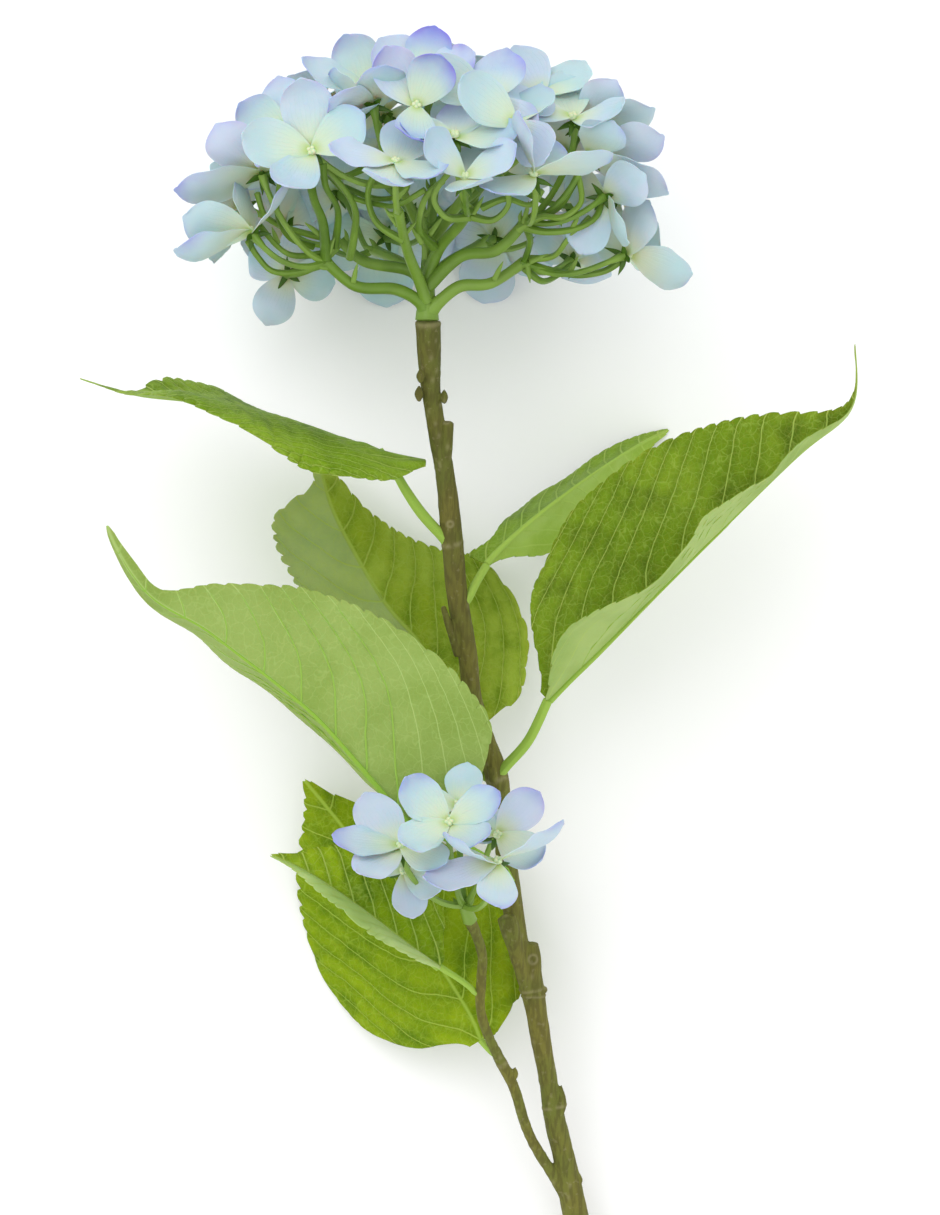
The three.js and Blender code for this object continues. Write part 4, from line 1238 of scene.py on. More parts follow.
@dataclass(frozen=True)
class BarkFinish:
    """Olive-brown bark with long streaks, scars and a pale cut face."""

    olive: str = "#74702f"
    brown: str = "#4c4620"
    green: str = "#656e2a"
    grey: str = "#99926a"
    wood: str = "#c4b489"

    def material(self, effects: SharedEffects) -> bpy.types.Material:
        """Builds the material.

        Args:
            effects: The shared node groups.

        Returns:
            The material.
        """
        made, bench, shader = Coating("stem_bark", 0.75, 0.25).started()
        where = bench.where()
        long_way = bench.stretched(where, (1.0, 0.16, 1.0))
        colour = bench.coated(
            self.olive,
            (effects.patch(where, 40.0, 0.35, 0.7), self.green),
            (effects.patch(long_way, 760.0, 0.4, 0.6) * 0.5, self.brown),
            (bench.number("old") * 0.7, self.brown),
            (effects.patch(where, 600.0, 0.6, 0.72) * 0.25, self.grey),
            (bench.number("scar") * 0.5, self.grey),
            (bench.number("cut"), self.wood),
        )
        skin = effects.skin(long_way, 900.0, 2400.0, 0.6)
        surfaced(bench, shader, colour, skin, (0.0005, 0.8))
        return made


@dataclass(frozen=True)
class Blade:
    """How every leaf blade is cut and shaped; lengths are in mm.

    Attributes:
        tooth: Depth of a tooth of the rim.
        lean: How far it leans towards the tip.
        thick: Thickness of the blade.
        quilt: How far the blade swells between two side veins.
        crumple: How far broad, uneven waves lift the blade.
        ripple: How far the rim waves.
        turn: Turn of its slow wave over each tooth, in radians.
        least: Least breadth of a half, short of the tip and at it.
        rounded: Share of the length over which the tip is rounded.
        still: Share of it over which the swelling fades.
        slope: How steeply the side veins climb towards the tip.
        bend: How much steeper they get on their way to the rim.
        midrib: Radius of the midrib at the foot and at the tip.
        side_rib: Radius of a side rib at the midrib and at its end.
        rows_a_tooth: Rows of the mesh to each tooth.
        columns: Places of the mesh's columns, from the midrib to the rim.
    """

    tooth: float = 0.85
    lean: float = 1.3
    thick: float = 0.5
    quilt: float = 0.6
    crumple: float = 1.1
    ripple: float = 0.5
    turn: float = 0.9
    least: Numbers = (0.9, 0.2)
    rounded: float = 0.025
    still: float = 0.12
    slope: float = 0.8
    bend: float = 0.03
    midrib: Numbers = (1.15, 0.12)
    side_rib: Numbers = (0.5, 0.15)
    rows_a_tooth: int = 6
    columns: Numbers = (0.04, 0.1, 0.18, 0.27, 0.36, 0.46, 0.56, 0.66, 0.75, 0.83, 0.9, 0.95, 1.0)


BLADE = Blade()


@dataclass(frozen=True)
class Midrib:
    """The middle line of a blade, row by row.

    It holds the share of its length up to each row, its points, and the directions ahead, level
    to the right, and above, square to both.
    """

    shares: np.ndarray
    line: np.ndarray
    ahead: np.ndarray
    right: np.ndarray
    above: np.ndarray


@dataclass
class Leaf:
    """A leaf: its stalk, its midrib, and two toothed halves of a veined blade.

    Attributes:
        name: The solid that it stands for.
        stalk: Stations of the stalk as seen from above.
        rib: Places of the midrib as seen from above.
        left: The half on the left of the midrib, looking towards the tip.
        right: The other half.
        finish: Its colours.
        face: The face of the blade that looks up.
        teeth: Number of teeth on each half.
        spacing: Distance between side veins, in mm.
        ribbed: Thickness of the side ribs, as a share of the usual one.
    """

    name: str
    stalk: list[Station]
    rib: list[Numbers]
    left: Half
    right: Half
    finish: LeafFinish
    face: Face = Face.UPPER
    teeth: int = 26
    spacing: float = 14.0
    ribbed: float = 1.0
    draft: MeshDraft = field(
        default_factory=lambda: MeshDraft(("blade_map", "vein_map"), ("upper", "rib"))
    )

    def build(self) -> None:
        """Collects the blade, its ribs and the stalk."""
        rows = self.teeth * BLADE.rows_a_tooth
        line = spaced(smoothed(Eye.line(self.rib), 8)[:, :3], rows)
        shares = np.linspace(0, 1, rows + 1)
        ahead = directions(line)
        right = unit(np.cross(ahead, UPRIGHT))
        midrib = Midrib(shares, line, ahead, right, np.cross(right, ahead))
        left_grid, left_far = self._half(self.left, -1.0, midrib)
        right_grid, right_far = self._half(self.right, 1.0, midrib)
        grid = np.concatenate([left_grid[:, ::-1], line[:, None, :], right_grid], axis=1)
        far = np.concatenate([left_far[:, ::-1], np.zeros((rows + 1, 1)), right_far], axis=1)
        side = np.sign(np.arange(grid.shape[1]) - len(BLADE.columns))[None, :]
        run = shares[:, None] * float(np.linalg.norm(np.diff(line, axis=0), axis=1).sum())
        phase = self._phase(far, side, run)
        normals = unit(np.cross(np.gradient(grid, axis=1), np.gradient(grid, axis=0)))
        upward = 1.0 if self.face is Face.UPPER else -1.0
        inside = np.where(side < 0, far[:, :1], far[:, -1:]) - far
        room = np.clip(far / 6, 0, 1) * np.clip(inside / 5, 0, 1)
        fade = np.clip((1 - shares[:, None]) / BLADE.still, 0, 1)
        waves = lumpy(grid.reshape(-1, 3), 0.07).reshape(far.shape) * BLADE.crumple
        swell = np.sin(np.pi * phase) ** 2 * BLADE.quilt * upward + waves
        grid = grid + normals * (swell * room * fade)[..., None]
        grid[..., 2] = np.maximum(grid[..., 2], BLADE.thick / 2)
        thick = np.full(far.shape, BLADE.thick) * np.clip(0.5 + inside / 4, 0.5, 1)
        across = np.stack([side * far, np.broadcast_to(run, far.shape)], axis=-1) / LEAF_MAP_MM
        maps = {"blade_map": across, "vein_map": np.stack([phase, far / LEAF_MAP_MM], axis=-1)}
        # the other face's colour shows the real underside of a folded half, and also stands in for
        # painted sheen and painted shade
        left, right = self.left.fold_sheen_and_shade, self.right.fold_sheen_and_shade
        fold_sheen_and_shade = np.where(side < 0, left, np.where(side == 0, min(left, right), right))
        shown = self.face.value * (1 - fold_sheen_and_shade) + (1 - self.face.value) * fold_sheen_and_shade
        back = {"upper": 1 - self.face.value}
        normals = self.draft.sheet(grid, thick, maps, {"upper": shown}, back)
        self._ribs(grid, normals * -upward, phase)
        self._stalk()

    def _half(self, half: Half, sign: float, midrib: Midrib) -> tuple[np.ndarray, np.ndarray]:
        """Places one half of the blade.

        Args:
            half: Its cut, rise and curl.
            sign: 1 for the right half and -1 for the left.
            midrib: The line that it starts from.

        Returns:
            The points, rows by columns by three, and their distance from the midrib.
        """
        shares = midrib.shares
        least = between(*BLADE.least, ramped(shares, 0.85, 1))
        width = np.maximum(along(half.widths, shares), least)
        width = width * np.sqrt(np.clip((1.003 - shares) / BLADE.rounded, 0, 1))
        start = np.radians(along(half.rise, shares))
        curl = math.radians(half.curl)
        keep = along(half.toothed, shares)
        wander = np.sin(shares * 9 + sign) * 0.8 + np.sin(shares * 23 + sign * 2) * 0.35
        phase = shares * self.teeth + wander
        saw = np.mod(phase, 1.0)
        bump = np.sin(np.pi * saw**1.5) ** 0.8
        depth = BLADE.tooth * keep * np.clip(width / 14, 0, 1)
        depth *= 0.7 + 0.6 * np.array([chance(math.floor(p) + 3, sign + 5) for p in phase])
        slow = np.sin(shares * (self.teeth * BLADE.turn) + sign * 1.3)
        points, distance = [], []
        for column in BLADE.columns:
            reach = width - depth * (1 - bump) * column**8
            angle = start + curl * column
            over = (np.sin(angle) - np.sin(start)) / curl
            up = (np.cos(start) - np.cos(angle)) / curl
            wave = slow * BLADE.ripple * column**3 * np.clip(width / 20, 0, 1)
            lean = BLADE.lean * np.minimum(keep, 1) * saw * column**8
            shift = midrib.right * (sign * (over * reach - np.sin(angle) * wave))[:, None]
            shift = shift + midrib.above * (up * reach + np.cos(angle) * wave)[:, None]
            points.append(midrib.line + (shift + midrib.ahead * lean[:, None]))
            distance.append(reach * column)
        return np.stack(points, axis=1), np.stack(distance, axis=1)

    def _phase(self, far: np.ndarray, side: np.ndarray, run: np.ndarray) -> np.ndarray:
        """Counts the side veins passed at each distance from, side of and run along the midrib."""
        sway = 0.16 * np.sin(far / 9 + side * 2 + run / 17) * np.clip(far / 8, 0, 1)
        return (run - BLADE.slope * far - BLADE.bend * far * far) / self.spacing + sway

    def _ribs(self, grid: np.ndarray, under: np.ndarray, phase: np.ndarray) -> None:
        """Adds the midrib and the side ribs that stand out of the underside.

        Args:
            grid: Middle surface of the blade.
            under: Directions out of its underside.
            phase: Count of side veins at each point.
        """
        rows, columns = phase.shape
        middle = columns // 2
        radii = between(*BLADE.midrib, np.linspace(0, 1, rows) ** 0.7)
        some = slice(0, rows, 3)
        sink = np.where(radii[some, None] > BLADE.thick, 0.8, 0.4)
        line = grid[some, middle] + under[some, middle] * radii[some, None] * sink
        self._rib_bar(line, radii[some], 8)
        for sign in (-1, 1):
            half = [middle + sign * step for step in range(len(BLADE.columns))]
            for number in range(int(phase.max()) + 1):
                self._side_rib(grid[:, half], under[:, half], phase[:, half], number + 0.999)

    def _side_rib(
        self, grid: np.ndarray, under: np.ndarray, phase: np.ndarray, count: float
    ) -> None:
        """Adds one side rib, from the midrib towards the rim.

        Args:
            grid: Middle surface of its half, column by column from the midrib.
            under: Directions out of the underside.
            phase: Count of side veins at each point.
            count: The count that the rib follows.
        """
        rows, columns = phase.shape
        line, thick = [], []
        for column in range(columns):
            run = phase[:, column]
            spot = float(np.interp(count, run, np.arange(rows)))
            if spot >= rows * 0.94 or spot <= 0 or run[0] > count:
                break
            row = int(spot)
            part = spot - row
            here = grid[row, column] * (1 - part) + grid[row + 1, column] * part
            radius = between(*BLADE.side_rib, column / columns) * self.ribbed
            line.append(here + under[row, column] * radius * 0.6)
            thick.append(radius * min(1.0, 1.3 - spot / rows))
        if len(line) > 3:
            self._rib_bar(np.array(line), np.array(thick), 6, 0.8)

    def _rib_bar(self, line: np.ndarray, radii: np.ndarray, sides: int, tint: float = 1.0) -> None:
        """Adds one rib, on or above the table.

        Args:
            line: Its points.
            radii: Its radius at each point.
            sides: Corners round it.
            tint: How far it has the colour of ribs.
        """
        stations = np.column_stack([line, radii])
        stations[:, 2] = np.maximum(stations[:, 2], radii * 1.02)
        self.draft.tube(stations, sides, values={"rib": tint, "upper": 0.0})

    def _stalk(self) -> None:
        """Adds the stalk, swollen where it leaves the stem."""
        stations = smoothed(Eye.line(self.stalk), 7)
        share = np.linspace(0, 1, len(stations))
        stations[:, 3] *= 0.85 + 0.4 * np.exp(-((share / 0.12) ** 2))
        self.draft.tube(stations, 12, ribs=4, rib_depth=0.06, values={"rib": 1.0, "upper": 0.0})

    def dress(self, effects: SharedEffects) -> None:
        """Makes the object and gives it its finish."""
        piece = self.draft.finish(self.name + "_veined", 40.0)
        hand_over(piece, self.name, self.finish.material(self.spacing, effects))


LEAVES: list[Leaf] = [
    Leaf(
        name="leaf_upper_left",
        finish=LeafFinish(
            "upper_left_leaf_skin",
            upper="#76981c",
            patch="#88a82c",
            # painted shade for the creases and soft patches
            depth="#56760c",
        ),
        teeth=22,
        spacing=10.0,
        ribbed=0.6,
        stalk=[
            (-6.4, 51, 60.2, 2.3), (-9.4, 53.8, 61.6, 2), (-16, 61, 65, 2), (-21.5, 69, 67, 1.8),
            (-25.5, 76, 68.4, 1.5), (-30, 82.4, 69.2, 1.2),
        ],
        rib=[
            (-15, 79, 67.5), (-27, 81.5, 69), (-40, 85.5, 70), (-57, 91.5, 71), (-75, 96, 72),
            (-93, 98.6, 73), (-109, 100.2, 73), (-119, 102.6, 72.5), (-129.5, 106, 72),
        ],
        left=Half(
            widths=(6, 26, 37, 41, 41, 38, 33, 27, 17, 3, 1),
            rise=(84, 86, 89, 88, 91, 96, 101, 107, 108, 100, 95),
            curl=-38,
            toothed=(2.4, 2.0, 2.4, 2.8, 1.6),
        ),
        right=Half(
            widths=(
                4, 13, 22, 28, 33, 36, 38, 38, 38, 37, 36, 34, 32, 28, 24, 18, 11, 2, 1.5, 1, 1,
            ),
            rise=(-96, -97, -97, -96, -93, -90, -83, -76, -62, -80, -90),
            curl=8,
            toothed=(0.8, 0.8, 1.4, 3.0, 1.6),
        ),
    ),
    Leaf(
        name="leaf_left",
        finish=LeafFinish(
            "left_leaf_skin",
            under="#8ea656",
            cloud="#829c48",
            vein="#aec678",
            rib="#88b040",
        ),
        face=Face.UNDERSIDE,
        teeth=30,
        spacing=16.0,
        ribbed=0.9,
        stalk=[
            (12.9, -60.4, 39.4, 2.3), (10.6, -57.6, 43, 2), (0, -51, 52.5, 1.9),
            (-15, -43, 62, 1.9), (-20, -41.5, 66, 1.8),
        ],
        rib=[
            (-15, -48, 62), (-26, -35, 69), (-38, -21, 74), (-51, -6.7, 78), (-65, 5, 80),
            (-77, 14, 82), (-89, 23, 84), (-104, 31.5, 86), (-112, 40, 90), (-118, 50, 94),
            (-121, 57, 97),
        ],
        left=Half(
            widths=(10, 30, 36, 37, 35, 29, 22, 14, 7, 3, 1),
            rise=(-84, -80, -78, -74, -66, -40),
            curl=-6,
            toothed=(1.0, 1.0, 0.8, 0.2, 0.0),
        ),
        right=Half(
            widths=(22, 41, 44, 43, 39, 34, 27, 15, 4.3, 3, 1.2),
            rise=(8, -2, 4),
            curl=-8,
            toothed=(1.0, 1.0, 1.0, 0.4, 0.0),
        ),
    ),
    Leaf(
        name="leaf_right",
        finish=LeafFinish(
            "right_leaf_skin",
            upper="#6a8a10",
            patch="#78961c",
            # painted shade for the creases and soft patches
            depth="#546e0c",
            under="#a0b86a",
        ),
        teeth=34,
        spacing=16.0,
        ribbed=0.5,
        stalk=[
            (8.6, -28.4, 45.2, 2.4), (11.4, -23.8, 47.8, 2), (19.5, -14.5, 51, 1.9),
            (26, -1, 56, 1.8),
        ],
        rib=[
            (26, -1, 56), (33, 6, 58), (43.5, 16, 60), (63.5, 36, 63), (87, 59, 66), (110, 81, 68),
            (123, 91, 70), (127.6, 97, 72), (129, 105, 74), (128.4, 117, 75),
        ],
        left=Half(widths=(4, 27, 35, 40, 40, 37, 31, 21, 8, 1, 0.5), rise=(-4, -6, 0), curl=-12),
        right=Half(
            widths=(4, 26, 32, 36, 36, 33, 27, 17, 7, 1, 0.5),
            rise=(
                104, 110, 113, 113, 107, 101, 96, 93, 93, 95, 101, 99, 95, 91, 98, 103, 102, 97, 98,
                100, 100,
            ),
            curl=6,
        ),
    ),
    Leaf(
        name="leaf_right_rear",
        finish=LeafFinish(
            "right_rear_leaf_skin",
            upper="#688e10",
            under="#9eba5a",
            cloud="#8aaa3c",
            rib="#98b650",
        ),
        face=Face.UNDERSIDE,
        teeth=22,
        spacing=9.0,
        ribbed=0.6,
        stalk=[
            (-3.4, 29.6, 55.6, 1.8), (-0.6, 32.8, 56.2, 1.6), (2, 38, 55, 1.6), (5.6, 44, 53, 1.5),
        ],
        rib=[
            (5.6, 44, 53), (12, 51, 49), (22, 60, 43), (35, 70, 33), (48, 79, 18.6), (58, 85, 8),
            (66, 89, 0.4),
        ],
        left=Half(
            widths=(9, 8, 13, 16, 18, 18, 16, 13, 9, 5, 1),
            rise=(-30, -52, -61, -67, -70, -68, -62, -52, -45),
            curl=-8,
            # painted shade: this half takes most of the darker upper-face colour
            fold_sheen_and_shade=0.7,
        ),
        right=Half(
            widths=(1, 6, 14, 19, 22, 21, 18, 14, 9, 4, 1),
            rise=(-45, -47, -55, -58, -56, -50, -40),
            curl=10,
        ),
    ),
    Leaf(
        name="leaf_back",
        finish=LeafFinish(
            "back_leaf_skin",
            upper="#8ca422",
            patch="#9cb43e",
            # painted shade for the creases and soft patches
            depth="#68860e",
            under="#b2c692",
            cloud="#a2b87e",
            vein="#a4ba50",
            rib="#8aa446",
        ),
        teeth=28,
        spacing=14.0,
        ribbed=0.6,
        stalk=[
            (8, -28, 44.6, 1.9), (4.4, -26, 44.2, 1.7), (-1, -22, 42, 1.7), (-4, -15, 39.5, 1.6),
        ],
        rib=[
            (-4, -15, 39.5), (-6, -8, 37.5), (-9, 2, 34), (-16, 17, 30), (-28, 31, 27),
            (-39, 49, 25), (-46, 63, 24), (-50, 76, 24),
        ],
        left=Half(
            widths=(
                5, 14, 22, 27, 30, 31, 31, 30, 29, 28, 27, 26, 25, 24, 23.5, 23.5, 24, 23.5, 20,
                4.5, 3.5,
            ),
            rise=(-24, -10, 4),
            curl=30,
            # painted sheen: this curled half takes half of the paler underside colour
            fold_sheen_and_shade=0.5,
            toothed=(1.0, 1.0, 1.6, 2.0, 1.6),
        ),
        right=Half(
            widths=(5, 24, 33, 37, 37, 33, 26, 18, 12.5, 9, 4),
            rise=(-10, -14, -22),
            curl=-12,
        ),
    ),
    Leaf(
        name="leaf_low",
        finish=LeafFinish(
            "low_leaf_skin",
            upper="#7a9602",
            patch="#8aa40c",
            # painted shade for the creases and soft patches
            depth="#587802",
            vein="#a2bc48",
        ),
        teeth=20,
        spacing=16.0,
        ribbed=0.6,
        stalk=[
            (10.4, -121, 36.8, 1), (8.8, -119.4, 36, 1.2), (7, -118.2, 35.6, 1.2),
            (3.6, -114.4, 35, 1.3),
        ],
        rib=[
            (3.6, -114.4, 35), (0, -106, 31.6), (-8, -93, 26.4), (-18, -78, 20), (-30, -61, 16.2),
            (-42, -44, 17), (-55, -28, 22),
        ],
        left=Half(
            widths=(5, 23, 33, 39, 41, 40, 36, 30, 21, 9, 1),
            rise=(-22, -20, -16),
            curl=-14,
            toothed=(0.1, 0.2, 0.5, 2.2, 2.6),
        ),
        right=Half(widths=(6, 22, 30, 33, 33, 30, 25, 18, 11, 5, 1), rise=(-12, -12, -8), curl=-10),
    ),
    Leaf(
        name="leaf_low_folded",
        finish=LeafFinish(
            "folded_leaf_skin",
            upper="#789804",
            patch="#8ca810",
            under="#b2ca84",
            cloud="#a4c070",
        ),
        teeth=18,
        spacing=9.0,
        ribbed=0.6,
        stalk=[
            (3.4, -99.4, 47.8, 0.9), (1.4, -98.2, 49.4, 1.1), (0, -96.8, 51.4, 1.1),
            (-3.4, -94.2, 52.6, 1.1), (-10, -90, 54, 1.2),
        ],
        rib=[
            (-10, -90, 54), (-20, -83, 55.5), (-33, -73, 56.5), (-47, -63, 57.5), (-57, -57, 58),
            (-66, -53, 58),
        ],
        left=Half(
            widths=(3, 10, 14, 16, 17, 16, 14, 11, 7, 3, 1),
            rise=(96, 92, 88),
            curl=-34,
            fold_sheen_and_shade=1.0,
            toothed=(1.0, 3.0, 3.4, 3.0, 1.0),
        ),
        right=Half(widths=(4, 15, 21, 24, 25, 24, 21, 16, 10, 4, 1), rise=(-16, -16, -6), curl=-12),
    ),
]


@dataclass(frozen=True)
class Floret:
    """A floret in the object's frame.

    Its petals are given as in its plan, and its number seeds what varies from floret to floret.
    """

    centre: np.ndarray
    facing: np.ndarray
    petals: tuple[Numbers, ...]
    blush: float
    number: int

    @classmethod
    def by_hand(cls, plan: FloretPlan, number: int) -> Floret:
        """Places a floret that was planned one by one."""
        facing = unit(np.array(plan.faces, dtype=float))
        return cls(Eye.place(*plan.at), facing, plan.petals, plan.blush, number)

    @property
    def first(self) -> np.ndarray:
        """The direction of the first petal, laid square to the facing."""
        return squared(np.array(self.petals[0][:3], dtype=float), self.facing)


@dataclass(frozen=True)
class Dome:
    """The rounded form that carries the florets of the head's hidden side.

    Lengths are in mm and angles in degrees. Florets and petals stray from their even places by
    their wander at most, and petals usually lift out of the floret's plane by petal_open.
    """

    middle: Numbers = (-13.3, 154.0, 70.0)
    radius: float = 66.0
    rise: float = 54.0
    lean: float = 10.0
    wander: float = 4.0
    lowest: float = 1.6
    blush: float = 0.3
    petals: int = 4
    petal_length: float = 23.0
    petal_wander: float = 8.0
    petal_open: float = 12.0

    def florets(self) -> list[Floret]:
        """Places the rows of florets.

        Returns:
            The florets, row by row.
        """
        lean = math.radians(self.lean)
        top = np.array([0.0, math.cos(lean), -math.sin(lean)])
        front = np.array([0.0, math.sin(lean), math.cos(lean)])
        made: list[Floret] = []
        for row in HEAD_ROWS:
            for i in range(row.count):
                number = len(made) + 1
                share = i / (row.count - 1) if row.count > 1 else 0
                aside = between(-self.wander, self.wander, chance(number, 30))
                bearing = math.radians(between(row.first, row.last, share) + aside)
                higher = between(-self.wander, self.wander, chance(number, 31))
                lift = math.radians(row.lift + higher)
                out = np.array([math.cos(lift) * math.sin(bearing), 0.0, 0.0])
                out = out + front * math.cos(lift) * math.cos(bearing)
                centre = np.array(self.middle) + out * self.radius
                centre = centre + top * self.rise * math.sin(lift)
                centre[2] = max(centre[2], self.lowest)
                facing = unit(out / self.radius + top * math.sin(lift) / self.rise)
                facing = self._flattened(facing, centre[2])
                petals = self._petals(facing, number)
                made.append(Floret(centre, facing, petals, self.blush, number))
        return made

    def _flattened(self, facing: np.ndarray, height: float) -> np.ndarray:
        """Turns a floret near the table so that its petals lie flatter on it.

        Args:
            facing: The direction that it faces.
            height: Its height above the table.

        Returns:
            The direction that it then faces.
        """
        room = min(1.0, (height + 4) / self.petal_length)
        flatter = -math.sqrt(1 - room * room)
        if flatter >= facing[2]:
            return facing
        keep = room / math.hypot(facing[0], facing[1])
        return np.array([facing[0] * keep, facing[1] * keep, flatter])

    def _petals(self, facing: np.ndarray, number: int) -> tuple[Numbers, ...]:
        """Spreads petals evenly round a facing, opened a little out of its plane.

        Args:
            facing: The direction that the floret faces.
            number: The floret's number.

        Returns:
            The reach of each petal.
        """
        hint = np.array([0.0, 1.0, 0.0]) if abs(facing[1]) < 0.98 else UPRIGHT
        first = squared(hint, facing)
        turn = between(0, 90, chance(number, 32))
        reaches = []
        for index in range(self.petals):
            aside = between(-self.petal_wander, self.petal_wander, chance(number, index))
            angle = turn + 360 / self.petals * index + aside
            length = self.petal_length * between(0.9, 1.08, chance(number, index + 10))
            opened = math.radians(self.petal_open * between(0, 2, chance(number, index + 20)))
            reach = turned(first, facing, angle) * math.cos(opened) + facing * math.sin(opened)
            reaches.append(tuple(float(value) for value in reach * length))
        return tuple(reaches)


@dataclass(frozen=True)
class PetalCut:
    """How every petal is cut and shaped; lengths are in mm.

    Attributes:
        base: Breadth that every petal has.
        share: Breadth that it gains with its length.
        layer: Step between the two pairs of petals.
        bowl: How deeply it is dished.
        thick: Thickness in the middle.
        ripple: How far the rim waves.
        fold: How far the rim curls back near the tip.
        twist: The most that its tip turns about its length, in degrees.
        end: Length of the rim's sides, as a share of the petal's.
        point: How far the tip stands out beyond them, as a share too.
        rows: Rows of the mesh.
        columns: Columns of the mesh.
    """

    base: float = 8.0
    share: float = 0.6
    layer: float = 1.2
    bowl: float = 0.1
    thick: float = 0.45
    ripple: float = 0.55
    fold: float = 0.9
    twist: float = 16.0
    end: float = 0.985
    point: float = 0.035
    rows: int = 17
    columns: int = 13

    def add(self, draft: MeshDraft, floret: Floret, index: int, slim: float) -> None:
        """Adds one petal to a draft.

        Args:
            draft: Where it goes.
            floret: The floret that it belongs to.
            index: Which of its petals it is.
            slim: Its breadth, as a share of the usual one.
        """
        right, up, height, *roll = floret.petals[index]
        seed = floret.number * 7 + index
        aim = np.array([right, up, height], dtype=float)
        reach = float(np.linalg.norm(aim))
        out = aim / reach
        breadth = (self.base + self.share * reach) * slim
        normal = turned(squared(floret.facing, out), out, roll[0] if roll else 0.0)
        across = np.cross(normal, out)
        level = unit(np.array([out[0], out[1], 0.0]))
        start = floret.centre + floret.facing * ((index % 2) - 0.5) * self.layer
        tau = np.linspace(0, 1, self.rows)[:, None]
        side = np.linspace(1, -1, self.columns)[None, :]
        length = self.end + self.point * (1 - np.abs(side) ** 1.4) * tau**5
        point = np.sin(tau * math.pi / 2) * length
        tip = 1 - np.minimum(point, self.end)
        wide = 0.12 * tip + 2.75 * (1 - tip) * tip**0.58
        lop = 1 + 0.12 * (chance(seed, 3) - 0.5) * side
        q = side * wide * lop * between(0.36, 0.42, chance(seed, 12))
        deep = self.bowl * between(0.6, 1.7, chance(seed, 11))
        dish = reach * deep * (6 * q * q * point - 6 * point**2 * (1 - point))
        turns = (1.6 + chance(seed, 4)) * point + chance(seed, 5)
        wave = np.sin(turns * 2 * math.pi + side * 1.5) * self.ripple * np.abs(side) ** 3
        wave = wave * ramped(point, 0.15, 0.6)
        curl = -self.fold * between(-0.4, 1.6, chance(seed, 6))
        curl = curl * ramped(point, 0.6, 1.05) * (0.5 + 0.5 * side**2)
        crease = -0.25 * np.exp(-((side / 0.12) ** 2)) * ramped(point, 0, 0.3) * (1 - point)
        twist = math.radians(self.twist) * (chance(seed, 13) * 2 - 1) * point
        off = dish + wave + curl + crease
        aside = q * breadth * np.cos(twist) - off * np.sin(twist)
        off = off * np.cos(twist) + q * breadth * np.sin(twist)
        grid = start + out * (point * reach)[..., None] + across * aside[..., None]
        grid = grid + normal * off[..., None]
        under = np.maximum(self.thick / 2 - grid[..., 2], 0)
        grid = grid + level * (under * 0.6)[..., None]
        grid[..., 2] = np.maximum(grid[..., 2], self.thick / 2)
        layout = np.stack([np.broadcast_to(side * 0.5 + 0.5, q.shape), point], axis=-1)
        marks: Marks = {
            "tone": chance(seed, 7),
            "blush": floret.blush * between(0.55, 1.15, chance(seed, 8)),
            # shade: how much painted blue-green shade the petal gets, more where the floret blushes
            # less
            "shade": min(1.0, (1.15 - floret.blush) * between(0.4, 1.2, chance(seed, 9))),
        }
        thick = self.thick * (1 - 0.5 * side**2) * np.ones_like(q)
        draft.sheet(grid, thick, {"petal_map": layout}, marks, marks)


PETAL = PetalCut()


@dataclass
class FloretCluster:
    """The florets of one solid: petals in two layers round a lobed button.

    Attributes:
        node: The solid that they stand for.
        florets: The florets.
        slim: Breadth of the petals, as a share of the usual one.
    """

    node: str
    florets: list[Floret]
    slim: float = 1.0
    draft: MeshDraft = field(
        default_factory=lambda: MeshDraft(("petal_map",), ("tone", "blush", "shade", "button"))
    )

    def build(self) -> None:
        """Collects petals and buttons."""
        for floret in self.florets:
            for index in range(len(floret.petals)):
                PETAL.add(self.draft, floret, index, self.slim)
            self._button(floret)

    def _button(self, floret: Floret) -> None:
        """Adds the four small lobes in the middle of a floret.

        Args:
            floret: The floret.
        """
        facing, first = floret.facing, floret.first
        centre = floret.centre.copy()
        centre[2] = max(centre[2], 1.4)
        marks = {"button": 1.0}
        self.draft.ball(centre + facing * 0.5, facing, (1.5, 1.0), marks, 10)
        for lobe in range(4):
            out = turned(first, facing, lobe * 90 + between(20, 60, chance(floret.number, 40)))
            spot = centre + out * 0.85 + facing * 1.15
            spot[2] = max(spot[2], 0.9)
            self.draft.ball(spot, facing, (0.8, 0.75), marks, 8)

    def dress(self, finish: bpy.types.Material) -> None:
        """Makes the object and gives it its finish."""
        piece = self.draft.finish(self.node + "_petals", 60.0)
        hand_over(piece, self.node, finish)


@dataclass(frozen=True)
class StalkCut:
    """How the flower stalks are shaped; lengths are in mm, and shares are of a radius or reach.

    A stalk sags, turns square to its floret over the last stretch and is seated behind it. The
    branches grow slim between two places up the stem and swell to a knot at the end, given as how
    far and over which share of the length. All keep clear of the table.
    """

    sag: float = 0.28
    arrive: float = 13.0
    seat: float = 2.2
    root: float = 1.3
    middle: float = 0.98
    top: float = 1.7
    steps: int = 15
    sides: int = 10
    ribs: int = 5
    rib_depth: float = 0.07
    branch_share: float = 0.8
    slimming: Numbers = (126.0, 133.0)
    knot: Numbers = (0.22, 0.08)
    loop_share: float = 0.9
    clear: float = 0.05


STALK = StalkCut()


